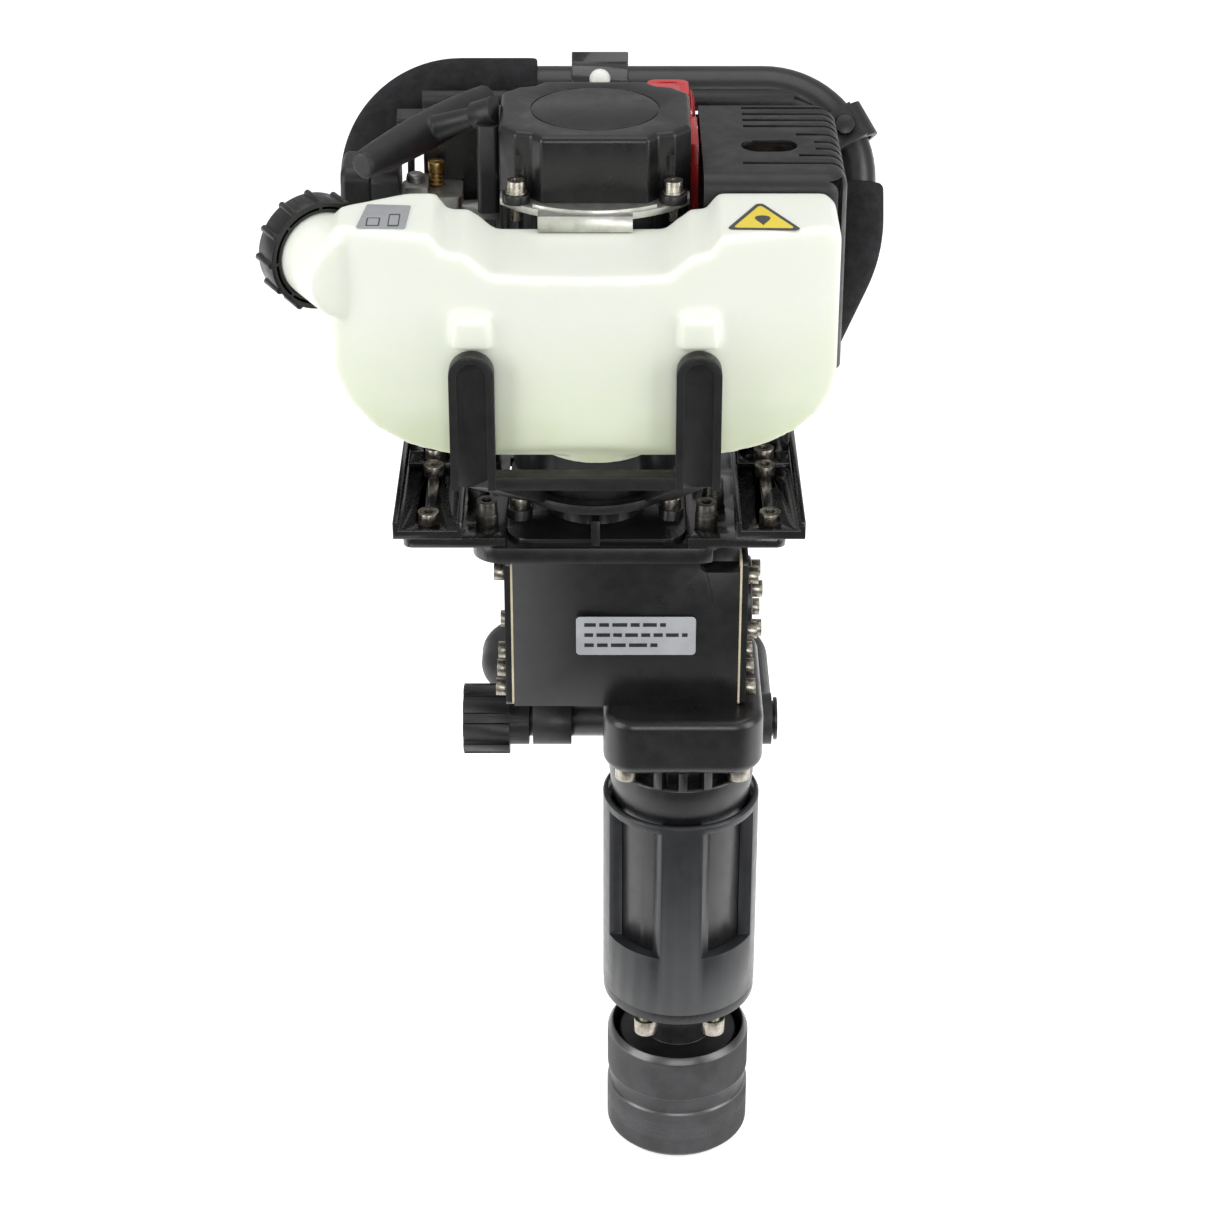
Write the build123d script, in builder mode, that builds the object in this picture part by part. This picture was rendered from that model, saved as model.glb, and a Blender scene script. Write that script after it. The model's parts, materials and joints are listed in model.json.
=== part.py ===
"""Petrol percussion driver head: engine on top, gearbox, hammer barrel and quick-release chuck.

Frame: millimetres, +Z up along the tool axis, +Y to the back (the operator's side), +X right.
The origin is on the tool axis, in the mouth of the chuck.
"""
from build123d import *
import math
import os

os.makedirs("parts", exist_ok=True)

# ---- driving dimensions ----------------------------------------------------------------------
TOOL_BORE_R = 15.0          # bore for the driving tool's shank
TOOL_BORE_DEPTH = 52.0
RUN = 0.05                  # radial running clearance of a shaft in its hole
SLIP = 0.2                  # loose fit between pieces of one assembly

COLLAR_R = 37.3
COLLAR_H = 65.0
COLLAR_FLOOR = 34.0         # the spring stands on this floor inside the collar's cup
NOSE_R = TOOL_BORE_R + 9.92
SHOULDER_Z = 57.0
NECK_R = 17.6

END_PLATE_Z = 88.0
END_PLATE_T = 7.5
SLEEVE_R = 39.5
SLEEVE_Z0 = END_PLATE_Z + END_PLATE_T
SLEEVE_Z1 = 209.5
BARREL_TOP = 229.8
CYLINDER_R = 20.0           # bore that the striker and the piston run in

BLOCK_Z0, BLOCK_Z1 = 239.0, 270.0
BLOCK_HALF_X = 39.4
BOX_X0, BOX_X1 = -83.0, 26.5
BOX_Y0, BOX_Y1 = -22.0, 62.0
BOX_Z1 = 350.0
BOX_TOP = 358.0             # top of the gearbox flange
GASKET_T = 1.0
COVER_T = 3.0

ENGINE_X, ENGINE_Y = -43.0, 20.0   # engine crank axis
PLATE_T = 5.0
PLATE_TOP = BOX_TOP + PLATE_T
RAIL_X = (-123.0, 40.5)
RAIL_W = 33.0
FAN_TOP = 528.0
STARTER_Z0, STARTER_Z1 = 531.0, 562.0

TANK_X0, TANK_X1 = -159.0, 65.0
TANK_Z0, TANK_Z1 = 435.0, 540.0
TANK_BACK_Y = -28.0
TANK_WALL = 2.5

CAP_RIM = Vector(-164.0, -45.0, 516.0)    # centre of the filler cap's open rim
CAP_AXIS = Vector(-0.5, 0.866025, 0.0)    # out of the filler neck
NECK_OUT_R = 20.0

BAR_Y, BAR_Z, BAR_R = 54.0, 218.0, 9.2    # side handle's bar, along X
HANDLE_TUBE_R = 11.0
FOAM_R = 15.0

M5_HEAD = (4.25, 5.0, 2.5, 2.0)     # head radius, head height, shank radius, socket radius
M6_HEAD = (5.0, 6.0, 3.0, 2.7)
M8_HEAD = (6.0, 8.0, 4.0, 3.4)


# ---- helpers ---------------------------------------------------------------------------------
def save(piece, name):
    """Label a finished piece and write it as one STEP file."""
    piece.part.label = name
    export_step(piece.part, f"parts/{name}.step")


def slab(x0, x1, y0, y1, z0, z1, mode=Mode.ADD):
    """Box between two corners, in the part being built."""
    with Locations(((x0 + x1) / 2, (y0 + y1) / 2, (z0 + z1) / 2)):
        Box(x1 - x0, y1 - y0, z1 - z0, mode=mode)


def turned(outline, centre=(0, 0), mode=Mode.ADD):
    """Solid of revolution from (radius, z) points about a vertical axis through centre."""
    with BuildSketch(Plane(origin=(*centre, 0), x_dir=(1, 0, 0), z_dir=(0, -1, 0))) as profile:
        with BuildLine():
            Polyline(*outline, close=True)
        make_face()
    revolve(profile.sketch, axis=Axis((*centre, 0), (0, 0, 1)), mode=mode)


def disc(seat, radius, height, mode=Mode.ADD):
    """Cylinder of the given height standing on a plane."""
    with BuildSketch(seat) as profile:
        Circle(radius)
    extrude(profile.sketch, amount=height, mode=mode)


def seats(points, z, up=1):
    """Planes at height z for screws whose heads point up (1) or down (-1)."""
    return [Plane(origin=(x, y, z), x_dir=(1, 0, 0), z_dir=(0, 0, up)) for x, y in points]


def side_seats(points, x, out):
    """Planes at x for screws whose heads point along +X (1) or -X (-1)."""
    return [Plane(origin=(x, y, z), x_dir=(0, 1, 0), z_dir=(out, 0, 0)) for y, z in points]


def cap_screws(places, size, shank_length):
    """Socket-head cap screws seated on the given planes, each a solid of its own."""
    head_r, head_h, shank_r, socket_r = size
    for place in places:
        disc(place, head_r, head_h)
        disc(place, shank_r, -shank_length)
        with BuildSketch(place.offset(head_h)) as socket:
            RegularPolygon(socket_r, 6)
        extrude(socket.sketch, amount=-head_h * 0.55, mode=Mode.SUBTRACT)


def drill(places, radius, depth):
    """Holes running down from the given planes."""
    for place in places:
        disc(place, radius, -depth, Mode.SUBTRACT)


def tube_along(points, radii, radius, bore=0.0):
    """Round tube or rod along straight runs joined by arcs."""
    with BuildLine() as route:
        FilletPolyline(*points, radius=radii)
    with BuildSketch(Plane(origin=route.line @ 0, z_dir=route.line % 0)) as section:
        Circle(radius)
        if bore:
            Circle(bore, mode=Mode.SUBTRACT)
    sweep(section.sketch, path=route.line)


def ring_points(radius, count, start, centre=(0, 0)):
    """Points evenly spaced on a circle."""
    turn = 360 / count
    angles = [math.radians(start + turn * i) for i in range(count)]
    return [(centre[0] + radius * math.cos(a), centre[1] + radius * math.sin(a)) for a in angles]


# ---- chuck -----------------------------------------------------------------------------------
CLIP_Z0, CLIP_Z1 = 3.0, 5.0
CLIP_GROOVE_R = NOSE_R - 1.4
ANVIL_R = 12.0
HOLDER_FLANGE_R = 27.0
HOLDER_TOP = SLEEVE_Z0 + 6.0
BALL_R = 4.0
BALL_Z = 14.0
BALL_AT_R = 19.3

with BuildPart() as tool_holder:
    turned([
        (TOOL_BORE_R, 0), (NOSE_R, 0), (NOSE_R, CLIP_Z0), (CLIP_GROOVE_R, CLIP_Z0),
        (CLIP_GROOVE_R, CLIP_Z1), (NOSE_R, CLIP_Z1), (NOSE_R, SHOULDER_Z), (31, SHOULDER_Z),
        (31, SHOULDER_Z + 3), (30, SHOULDER_Z + 4), (NECK_R, SHOULDER_Z + 4),
        (NECK_R, SLEEVE_Z0), (HOLDER_FLANGE_R, SLEEVE_Z0), (HOLDER_FLANGE_R, HOLDER_TOP),
        (ANVIL_R, HOLDER_TOP), (ANVIL_R, TOOL_BORE_DEPTH), (TOOL_BORE_R, TOOL_BORE_DEPTH),
    ])
    for x, y in ring_points(1, 3, 90):
        disc(Plane(origin=(0, 0, BALL_Z), z_dir=(x, y, 0)), BALL_R + 0.1, COLLAR_R, Mode.SUBTRACT)
save(tool_holder, "tool_holder")

with BuildPart() as retainer_balls:
    with Locations(*[(x, y, BALL_Z) for x, y in ring_points(BALL_AT_R, 3, 90)]):
        Sphere(BALL_R)
save(retainer_balls, "retainer_balls")

with BuildPart() as chuck_collar:
    turned([
        (28.5, 0), (COLLAR_R - 4, 0), (COLLAR_R, 4), (COLLAR_R, 29.3), (COLLAR_R - 1, 30.5),
        (COLLAR_R - 1, 37.5), (COLLAR_R, 38.7), (COLLAR_R, 61.5), (COLLAR_R - 2.4, COLLAR_H),
        (34, COLLAR_H - 0.6), (34, COLLAR_FLOOR), (NOSE_R + RUN, COLLAR_FLOOR),
        (NOSE_R + RUN, CLIP_Z1 + 0.1), (28.5, CLIP_Z1 + 0.1),
    ])
save(chuck_collar, "chuck_collar")

with BuildPart() as collar_clip:
    turned([
        (CLIP_GROOVE_R + 0.1, CLIP_Z0 + 0.05), (27.5, CLIP_Z0 + 0.05),
        (27.5, CLIP_Z1), (CLIP_GROOVE_R + 0.1, CLIP_Z1),
    ])
    slab(-3, 3, 20, 30, 0, 10, Mode.SUBTRACT)
save(collar_clip, "collar_clip")

SPRING_WIRE_R = 1.1
SPRING_R = 27.6
SPRING_H = SHOULDER_Z - COLLAR_FLOOR - 2 * SPRING_WIRE_R - 0.1
with BuildPart() as collar_spring:
    with BuildLine() as coil:
        Helix(pitch=SPRING_H / 5, height=SPRING_H, radius=SPRING_R,
              center=(0, 0, COLLAR_FLOOR + SPRING_WIRE_R + 0.05))
    with BuildSketch(Plane(origin=coil.line @ 0, z_dir=coil.line % 0)):
        Circle(SPRING_WIRE_R)
    sweep()
save(collar_spring, "collar_spring")

# ---- barrel ----------------------------------------------------------------------------------
END_SCREWS = [(x, y) for x, y in ring_points(34.7, 6, -60) if abs(y) > 1]
SLEEVE_SCREW_TOP = 115.0

with BuildPart() as barrel_end_plate:
    turned([
        (NECK_R + SLIP, END_PLATE_Z), (SLEEVE_R - 2.2, END_PLATE_Z), (SLEEVE_R - 0.2, END_PLATE_Z + 2),
        (SLEEVE_R - 0.2, SLEEVE_Z0), (NECK_R + SLIP, SLEEVE_Z0),
    ])
    drill(seats(END_SCREWS, SLEEVE_Z0), 4.2, 2 * END_PLATE_T)
save(barrel_end_plate, "barrel_end_plate")

BARREL_SEAT = 130.0
BARREL_R = 33.3
WINDOW_TOP = 205.0
WINDOW = [(7.5, 44), (14.2, 30.3), (29.7, 15.5), (44, 16.1), (44, 44)]  # plan of one of the four
with BuildPart() as barrel_sleeve:
    turned([
        (30, SLEEVE_Z0), (SLEEVE_R, SLEEVE_Z0), (SLEEVE_R, SLEEVE_Z1 - 1), (SLEEVE_R - 1, SLEEVE_Z1),
        (37, SLEEVE_Z1), (37, WINDOW_TOP - 1), (BARREL_R + 0.3, WINDOW_TOP - 5),
        (BARREL_R + 0.3, BARREL_SEAT), (30, BARREL_SEAT),
    ])
    for side_x in (-1, 1):
        for side_y in (-1, 1):
            with BuildSketch(Plane.XY.offset(BARREL_SEAT)):
                Polygon(*[(side_x * x, side_y * y) for x, y in WINDOW], align=None)
            extrude(amount=WINDOW_TOP - BARREL_SEAT, mode=Mode.SUBTRACT)
    drill(seats(END_SCREWS, SLEEVE_SCREW_TOP + 2), 4.1, 40)
save(barrel_sleeve, "barrel_sleeve")

with BuildPart() as barrel:
    turned([
        (24.2, HOLDER_TOP), (29.7, HOLDER_TOP), (29.7, BARREL_SEAT + 0.2), (BARREL_R, BARREL_SEAT + 0.2),
        (BARREL_R, WINDOW_TOP - 5), (36.4, 222), (36.4, BARREL_TOP - 1), (35.4, BARREL_TOP),
        (24.2, BARREL_TOP),
    ])
save(barrel, "barrel")

CYLINDER_TOP = 266.0
with BuildPart() as hammer_cylinder:
    turned([
        (CYLINDER_R, HOLDER_TOP), (24, HOLDER_TOP), (24, CYLINDER_TOP), (CYLINDER_R, CYLINDER_TOP),
    ])
save(hammer_cylinder, "hammer_cylinder")

ANVIL_TOP = HOLDER_TOP + 10
with BuildPart() as anvil:
    turned([
        (0, TOOL_BORE_DEPTH + 2), (ANVIL_R - RUN, TOOL_BORE_DEPTH + 2), (ANVIL_R - RUN, HOLDER_TOP + 0.3),
        (CYLINDER_R - 2, HOLDER_TOP + 0.3), (CYLINDER_R - 2, ANVIL_TOP), (0, ANVIL_TOP),
    ])
save(anvil, "anvil")

STRIKER_Z0 = ANVIL_TOP + 6.0
with BuildPart() as striker:
    turned([
        (0, STRIKER_Z0), (12, STRIKER_Z0), (12, STRIKER_Z0 + 14), (CYLINDER_R - RUN, STRIKER_Z0 + 16),
        (CYLINDER_R - RUN, STRIKER_Z0 + 60), (0, STRIKER_Z0 + 60),
    ])
save(striker, "striker")

# ---- nose block and gearbox ------------------------------------------------------------------
BLOCK_Y0, BLOCK_Y1 = -39.0, 60.0
NECK_BOLTS = [(-27.5, -24), (27.5, -24), (-27.5, 24), (27.5, 24)]
RIB_PITCH = 12.0
with BuildPart() as nose_block:
    with BuildSketch(Plane.XY.offset(BLOCK_Z0)):
        with Locations((0, (BLOCK_Y0 + BLOCK_Y1) / 2)):
            RectangleRounded(2 * BLOCK_HALF_X, BLOCK_Y1 - BLOCK_Y0, 16)
    extrude(amount=BLOCK_Z1 - BLOCK_Z0)
    fillet(edges().group_by(Axis.Z)[0], radius=6)
    fillet(edges().group_by(Axis.Z)[-1], radius=5)
    disc(Plane.XY.offset(BARREL_TOP), 30, BLOCK_Z0 - BARREL_TOP + 1)
    for turn in (-90, 90):
        for step in (-1, 0, 1):
            angle = math.radians(turn) + step * RIB_PITCH / 35
            with BuildSketch(Plane.XY.offset(BARREL_TOP)):
                with Locations(Location((33 * math.cos(angle), 33 * math.sin(angle)), math.degrees(angle))):
                    Rectangle(8.4, 4.2)
            extrude(amount=BLOCK_Z0 - BARREL_TOP + 1)
    disc(Plane.XY.offset(BARREL_TOP), 24.2, CYLINDER_TOP - BARREL_TOP, Mode.SUBTRACT)
    disc(Plane.XY.offset(BARREL_TOP), 16, BLOCK_Z1 - BARREL_TOP, Mode.SUBTRACT)
    drill(seats(NECK_BOLTS, BLOCK_Z0 + 22), 4.1, 40)
save(nose_block, "nose_block")

with BuildPart() as m8_screws:
    cap_screws(seats(NECK_BOLTS, BLOCK_Z0 - 0.2, -1), M8_HEAD, 20)
    cap_screws(seats(END_SCREWS, END_PLATE_Z, -1), M8_HEAD, SLEEVE_SCREW_TOP - END_PLATE_Z)
save(m8_screws, "m8_screws")

CAVITY_Y0, CAVITY_Y1 = -9.0, 49.0
CAVITY_Z0, CAVITY_Z1 = 283.0, 334.0
FLANGE_X0, FLANGE_X1 = -102.0, 20.0
SHAFT_AT = (ENGINE_X, ENGINE_Y)
COVER_SCREWS_LEFT = [
    (-15, 341), (20, 341), (55, 341), (55, 309), (-15, 277), (4, 277), (22, 277), (55, 277),
]
COVER_SCREWS_RIGHT = [
    (-15, 339), (20, 341), (55, 341), (-15, 309), (-15, 277), (5, 277), (22, 277), (55, 277),
]
BEARING_Y, BEARING_Z = 20.0, 308.0
BEARING_SCREWS = [(BEARING_Y + y, BEARING_Z + z) for y, z in ring_points(15.5, 4, 45)]
PLATE_BOLTS = [(-95, -8), (-100, 18), (10, -10), (14, 14), (-95, 50), (10, 50)]
HOUSING_SCREWS = [(ENGINE_X + sx * 36.5, ENGINE_Y + sy * 15) for sx in (-1, 1) for sy in (-1, 1)]

with BuildPart() as gearbox_housing:
    slab(BOX_X0, BOX_X1, BOX_Y0, BOX_Y1, BLOCK_Z1, BOX_Z1)
    with BuildSketch(Plane.XY.offset(BOX_Z1)):
        with Locations(((FLANGE_X0 + FLANGE_X1) / 2, (BOX_Y0 - 2 + BOX_Y1) / 2)):
            RectangleRounded(FLANGE_X1 - FLANGE_X0, BOX_Y1 - BOX_Y0 + 2, 14)
    extrude(amount=BOX_TOP - BOX_Z1)
    slab(BOX_X0 - 1, BOX_X1 + 1, CAVITY_Y0, CAVITY_Y1, CAVITY_Z0, CAVITY_Z1, Mode.SUBTRACT)
    with BuildSketch(Plane.XZ.offset(-BOX_Y0)):
        with Locations((20, BOX_Z1)):
            RectangleRounded(26, 12, 4)
    extrude(amount=-12, mode=Mode.SUBTRACT)
    disc(Plane.XY.offset(BLOCK_Z1), 14, CAVITY_Z0 - BLOCK_Z1, Mode.SUBTRACT)
    disc(Plane(origin=(*SHAFT_AT, CAVITY_Z1)), 12, 40, Mode.SUBTRACT)
    drill(side_seats(COVER_SCREWS_LEFT, BOX_X0, -1), 2.6, 12)
    drill(side_seats(COVER_SCREWS_RIGHT, BOX_X1, 1), 2.6, 12)
    drill(seats(PLATE_BOLTS + HOUSING_SCREWS, BOX_TOP), 3.1, 14)
save(gearbox_housing, "gearbox_housing")


def side_sheet(x0, x1):
    """Flat sheet over one open side of the gearbox."""
    with BuildSketch(Plane.YZ.offset(x0)) as outline:
        with Locations(((BOX_Y0 + BOX_Y1) / 2, (BLOCK_Z1 + BOX_Z1) / 2)):
            RectangleRounded(BOX_Y1 - BOX_Y0, BOX_Z1 - BLOCK_Z1, 3)
    extrude(outline.sketch, amount=x1 - x0)


def side_gasket(x0, x1):
    """Paper gasket that follows the rim of the gearbox's open side."""
    side_sheet(x0, x1)
    slab(x0 - 1, x1 + 1, CAVITY_Y0, CAVITY_Y1, CAVITY_Z0, CAVITY_Z1, Mode.SUBTRACT)


LEFT_OUT = BOX_X0 - GASKET_T - COVER_T
RIGHT_OUT = BOX_X1 + GASKET_T + COVER_T
BEARING_CAP_OUT = RIGHT_OUT + 3.5

with BuildPart() as side_gaskets:
    side_gasket(BOX_X0 - GASKET_T, BOX_X0)
    side_gasket(BOX_X1, BOX_X1 + GASKET_T)
    drill(side_seats(COVER_SCREWS_LEFT, LEFT_OUT, -1), 2.8, 10)
    drill(side_seats(COVER_SCREWS_RIGHT, RIGHT_OUT, 1), 2.8, 10)
save(side_gaskets, "side_gaskets")

with BuildPart() as side_cover_left:
    side_sheet(LEFT_OUT, BOX_X0 - GASKET_T)
    drill(side_seats(COVER_SCREWS_LEFT, LEFT_OUT, -1), 2.8, 10)
save(side_cover_left, "side_cover_left")

with BuildPart() as side_cover_right:
    side_sheet(BOX_X1 + GASKET_T, RIGHT_OUT)
    disc(Plane(origin=(RIGHT_OUT, BEARING_Y, BEARING_Z), z_dir=(1, 0, 0)), 21, BEARING_CAP_OUT - RIGHT_OUT)
    fillet(edges().group_by(Axis.X)[-1], radius=1)
    drill(side_seats(COVER_SCREWS_RIGHT, RIGHT_OUT, 1), 2.8, 10)
    drill(side_seats(BEARING_SCREWS, BEARING_CAP_OUT, 1), 2.8, 10)
save(side_cover_right, "side_cover_right")

# ---- mount plate, rails and clutch housing ---------------------------------------------------
PLATE_X0, PLATE_X1 = -135.0, 48.0
PLATE_Y0, PLATE_Y1 = -23.0, 84.0
WINDOW = (ENGINE_X - 43.0, ENGINE_X + 44.0, 66.0)      # x from, x to, back edge
RAIL_Y0, RAIL_Y1 = -24.0, 97.0
RAIL_T = 2.5
RAIL_LIP = 9.0
RAIL_BOLTS = [(x, y) for x in RAIL_X for y in (-11, 41)]
FOOT_BOLTS = [(x, y) for x in RAIL_X for y in (55, 91)]
FOOT_PLATE_T = 2.6
SPACER_H = 7.0

with BuildPart() as mount_plate:
    with BuildSketch(Plane.XY.offset(BOX_TOP)):
        with Locations(((PLATE_X0 + PLATE_X1) / 2, (PLATE_Y0 + PLATE_Y1) / 2)):
            RectangleRounded(PLATE_X1 - PLATE_X0, PLATE_Y1 - PLATE_Y0, 5)
    extrude(amount=PLATE_T)
    slab(WINDOW[0], WINDOW[1], PLATE_Y0 - 1, WINDOW[2], BOX_TOP, PLATE_TOP, Mode.SUBTRACT)
    drill(seats(PLATE_BOLTS, PLATE_TOP), 3.3, 20)
    drill(seats(RAIL_BOLTS + FOOT_BOLTS, PLATE_TOP), 3.3, 20)
save(mount_plate, "mount_plate")

with BuildPart() as plate_bolts:
    for seat in seats(PLATE_BOLTS, PLATE_TOP):
        disc(seat, 5.4, SPACER_H)
    cap_screws(seats(PLATE_BOLTS, PLATE_TOP + SPACER_H), M6_HEAD, SPACER_H + PLATE_T + 11)
save(plate_bolts, "plate_bolts")


def rail(x):
    """Channel with upturned lips on both sides and a low lip in front."""
    z = PLATE_TOP
    slab(x - RAIL_W / 2, x + RAIL_W / 2, RAIL_Y0, RAIL_Y1, z, z + RAIL_T)
    slab(x - RAIL_W / 2, x - RAIL_W / 2 + RAIL_T, RAIL_Y0, RAIL_Y1, z, z + RAIL_LIP)
    slab(x + RAIL_W / 2 - RAIL_T, x + RAIL_W / 2, RAIL_Y0, RAIL_Y1, z, z + RAIL_LIP)
    slab(x - RAIL_W / 2, x + RAIL_W / 2, RAIL_Y0, RAIL_Y0 + 1.5, z, z + RAIL_T + 2)
    drill(seats(RAIL_BOLTS + FOOT_BOLTS, z + RAIL_T), 3.3, 20)


with BuildPart() as mount_rails:
    for rail_x in RAIL_X:
        rail(rail_x)
save(mount_rails, "mount_rails")

CLUTCH_TOP = 392.0
CLUTCH_R = 34.5
CLUTCH_PAD_Z = BOX_TOP + 8.0
with BuildPart() as clutch_housing:
    with BuildSketch(Plane.XY.offset(BOX_TOP)):
        with Locations((ENGINE_X + 0.5, ENGINE_Y)):
            RectangleRounded(86, 80, 12)
    extrude(amount=3)
    for seat in seats(HOUSING_SCREWS, BOX_TOP):
        disc(seat, 6, CLUTCH_PAD_Z - BOX_TOP)
    turned([
        (0, BOX_TOP), (24, BOX_TOP), (24, 370), (CLUTCH_R, 374), (CLUTCH_R, CLUTCH_TOP),
        (CLUTCH_R - 3, CLUTCH_TOP), (CLUTCH_R - 3, 377), (0, 377),
    ], SHAFT_AT)
    slab(ENGINE_X - 2, ENGINE_X + 2, BOX_Y0 + 1, ENGINE_Y - 22, BOX_TOP, 371)
    disc(Plane(origin=(*SHAFT_AT, BOX_TOP)), 10, 40, Mode.SUBTRACT)
    drill(seats(HOUSING_SCREWS, CLUTCH_PAD_Z), 3.2, 20)
save(clutch_housing, "clutch_housing")

with BuildPart() as m6_screws:
    cap_screws(seats(RAIL_BOLTS, PLATE_TOP + RAIL_T), M6_HEAD, RAIL_T + PLATE_T + 3)
    cap_screws(seats(HOUSING_SCREWS, CLUTCH_PAD_Z), M6_HEAD, CLUTCH_PAD_Z - BOX_TOP + 10)
    cap_screws(seats(FOOT_BOLTS, PLATE_TOP + RAIL_T + FOOT_PLATE_T), M6_HEAD, 12)
save(m6_screws, "m6_screws")

# ---- drive line on the engine axis -----------------------------------------------------------
with BuildPart() as clutch_drum:
    turned([
        (0, 300), (8, 300), (9, 345), (9, 379), (31, 379), (31, 390.5), (28.5, 390.5), (28.5, 381.5),
        (0, 381.5),
    ], SHAFT_AT)
save(clutch_drum, "clutch_drum")

with BuildPart() as crankshaft:
    turned([
        (0, 382.5), (8.8, 382.5), (8.8, 391), (10, 391), (10, 415), (26, 415), (26, 424), (7, 424),
        (7, 436), (26, 436), (26, 445), (10, 445), (10, 500), (6, 500), (6, 540), (0, 540),
    ], SHAFT_AT)
    with BuildSketch(Plane(origin=(*SHAFT_AT, 383))):
        Circle(27.5)
        Rectangle(70, 5, mode=Mode.SUBTRACT)
        Circle(12)
    extrude(amount=7)
save(crankshaft, "crankshaft")

FLYWHEEL_R = 38.0
with BuildPart() as flywheel:
    turned([
        (10.1, 488), (FLYWHEEL_R - 6, 488), (FLYWHEEL_R, 493), (FLYWHEEL_R, 506), (10.1, 506),
    ], SHAFT_AT)
    with BuildSketch(Plane(origin=(*SHAFT_AT, 506))):
        with PolarLocations(FLYWHEEL_R - 8, 14):
            Rectangle(14, 1.8, rotation=35)
    extrude(amount=12)
save(flywheel, "flywheel")

REEL_R = 24.0
with BuildPart() as starter_reel:
    turned([
        (6.3, 534), (30, 534), (30, 536), (REEL_R, 536), (REEL_R, 546), (30, 546), (30, 548), (6.3, 548),
    ], SHAFT_AT)
save(starter_reel, "starter_reel")

# ---- engine castings -------------------------------------------------------------------------
CRANKCASE_TOP = 478.0
with BuildPart() as crankcase:
    with BuildSketch(Plane(origin=(*SHAFT_AT, CLUTCH_TOP))):
        RectangleRounded(78, 78, 22)
    extrude(amount=CRANKCASE_TOP - CLUTCH_TOP)
    fillet(edges().group_by(Axis.Z)[-1], radius=4)
    turned([(0, 393), (28, 393), (28, 460), (0, 460)], SHAFT_AT, Mode.SUBTRACT)
    disc(Plane(origin=(*SHAFT_AT, CLUTCH_TOP - 1)), 12, 100, Mode.SUBTRACT)
save(crankcase, "crankcase")

FAN_R = 43.0
with BuildPart() as fan_housing:
    turned([
        (12, CRANKCASE_TOP), (FAN_R - 3, CRANKCASE_TOP), (FAN_R, CRANKCASE_TOP + 3), (FAN_R, FAN_TOP),
        (FAN_R - 2.5, FAN_TOP), (FAN_R - 2.5, CRANKCASE_TOP + 5), (12, CRANKCASE_TOP + 5),
    ], SHAFT_AT)
    with BuildSketch(Plane(origin=(*SHAFT_AT, 500))):
        with PolarLocations(FAN_R, 24, start_angle=7.5):
            Rectangle(3, 1.6)
    extrude(amount=FAN_TOP - 500)
save(fan_housing, "fan_housing")

HEAD_X, HEAD_Z = -24.0, 462.0
FIN_COUNT = 8
with BuildPart() as engine_cylinder:
    disc(Plane(origin=(HEAD_X, 60, HEAD_Z), z_dir=(0, 1, 0)), 17, 46)
    for fin in range(FIN_COUNT):
        with BuildSketch(Plane(origin=(HEAD_X, 67.2 + fin * 5, HEAD_Z), z_dir=(0, 1, 0))):
            RectangleRounded(46, 46, 8)
        extrude(amount=1.8)
save(engine_cylinder, "engine_cylinder")

with BuildPart() as spark_plug:
    disc(Plane(origin=(HEAD_X, 106.2, HEAD_Z), z_dir=(0, 1, 0)), 6, 8)
    disc(Plane(origin=(HEAD_X, 114.2, HEAD_Z), z_dir=(0, 1, 0)), 8.5, 14)
    fillet(edges().group_by(Axis.Y)[-1], radius=3)
save(spark_plug, "spark_plug")

SHROUD_T = 2.0
SHROUD_BOX = (-52.0, 5.0, 64.6, 106.0, 438.0, 545.0)
with BuildPart() as cylinder_shroud:
    x0, x1, y0, y1, z0, z1 = SHROUD_BOX
    slab(x0, x1, y0, y1, z0, z1)
    fillet(edges().filter_by(Axis.Y).group_by(Axis.Z)[-1], radius=8)
    slab(x0 + SHROUD_T, x1 - SHROUD_T, y0 + SHROUD_T, y1 + 1, z0 - 1, z1 - SHROUD_T, Mode.SUBTRACT)
    slab(x1 - 3.5, x1, 28, y0 + 1, 470, z1 - 3)
    slab(-44, -4, y0 - 1, y0 + 5, z0 - 1, 486, Mode.SUBTRACT)
    with BuildSketch(Plane.XY.offset(z1 - SHROUD_T)):
        with Locations((-8, 100)):
            RectangleRounded(20, 24, 5)
            RectangleRounded(12, 16, 4, mode=Mode.SUBTRACT)
    extrude(amount=SHROUD_T)
save(cylinder_shroud, "cylinder_shroud")

GUARD_BOX = (6.0, 71.0, -25.0, 80.0, 450.0, 545.0)
GUARD_T = 2.5
GUARD_SLOTS = [              # y of each slot and the x where it starts
    (70, 26), (61.5, 26), (53, 26), (44.5, 26), (33, 50), (23, 58), (14, 58), (5, 50), (-5, 24),
]
with BuildPart() as muffler_guard:
    x0, x1, y0, y1, z0, z1 = GUARD_BOX
    slab(x0, x1, y0, y1, z0, z1)
    fillet(edges().filter_by(Axis.Z).group_by(Axis.X)[-1], radius=12)
    top_edges = edges().group_by(Axis.Z)[-1]
    fillet(top_edges.filter_by(lambda edge: edge.center().X > GUARD_BOX[0] + 1), radius=8)
    slab(x0 - 1, x1 - GUARD_T, y0 + GUARD_T, y1 - GUARD_T, z0 - 1, z1 - GUARD_T, Mode.SUBTRACT)
    for y, start in GUARD_SLOTS:
        slab(start, x1 + 1, y - 1.7, y + 1.7, 470, z1 + 1, Mode.SUBTRACT)
    with BuildSketch(Plane.XY.offset(z1)):
        with Locations((37, 18)):
            SlotOverall(26, 17)
    extrude(amount=-GUARD_T - 1, mode=Mode.SUBTRACT)
save(muffler_guard, "muffler_guard")

with BuildPart() as muffler:
    slab(12, 60, -14, 66, 456, 534)
    fillet(edges().filter_by(Axis.Y), radius=12)
    disc(Plane(origin=(36, 18, 533)), 7, 6)
    disc(Plane(origin=(36, 18, 530)), 5, 10, Mode.SUBTRACT)
save(muffler, "muffler")

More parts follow.
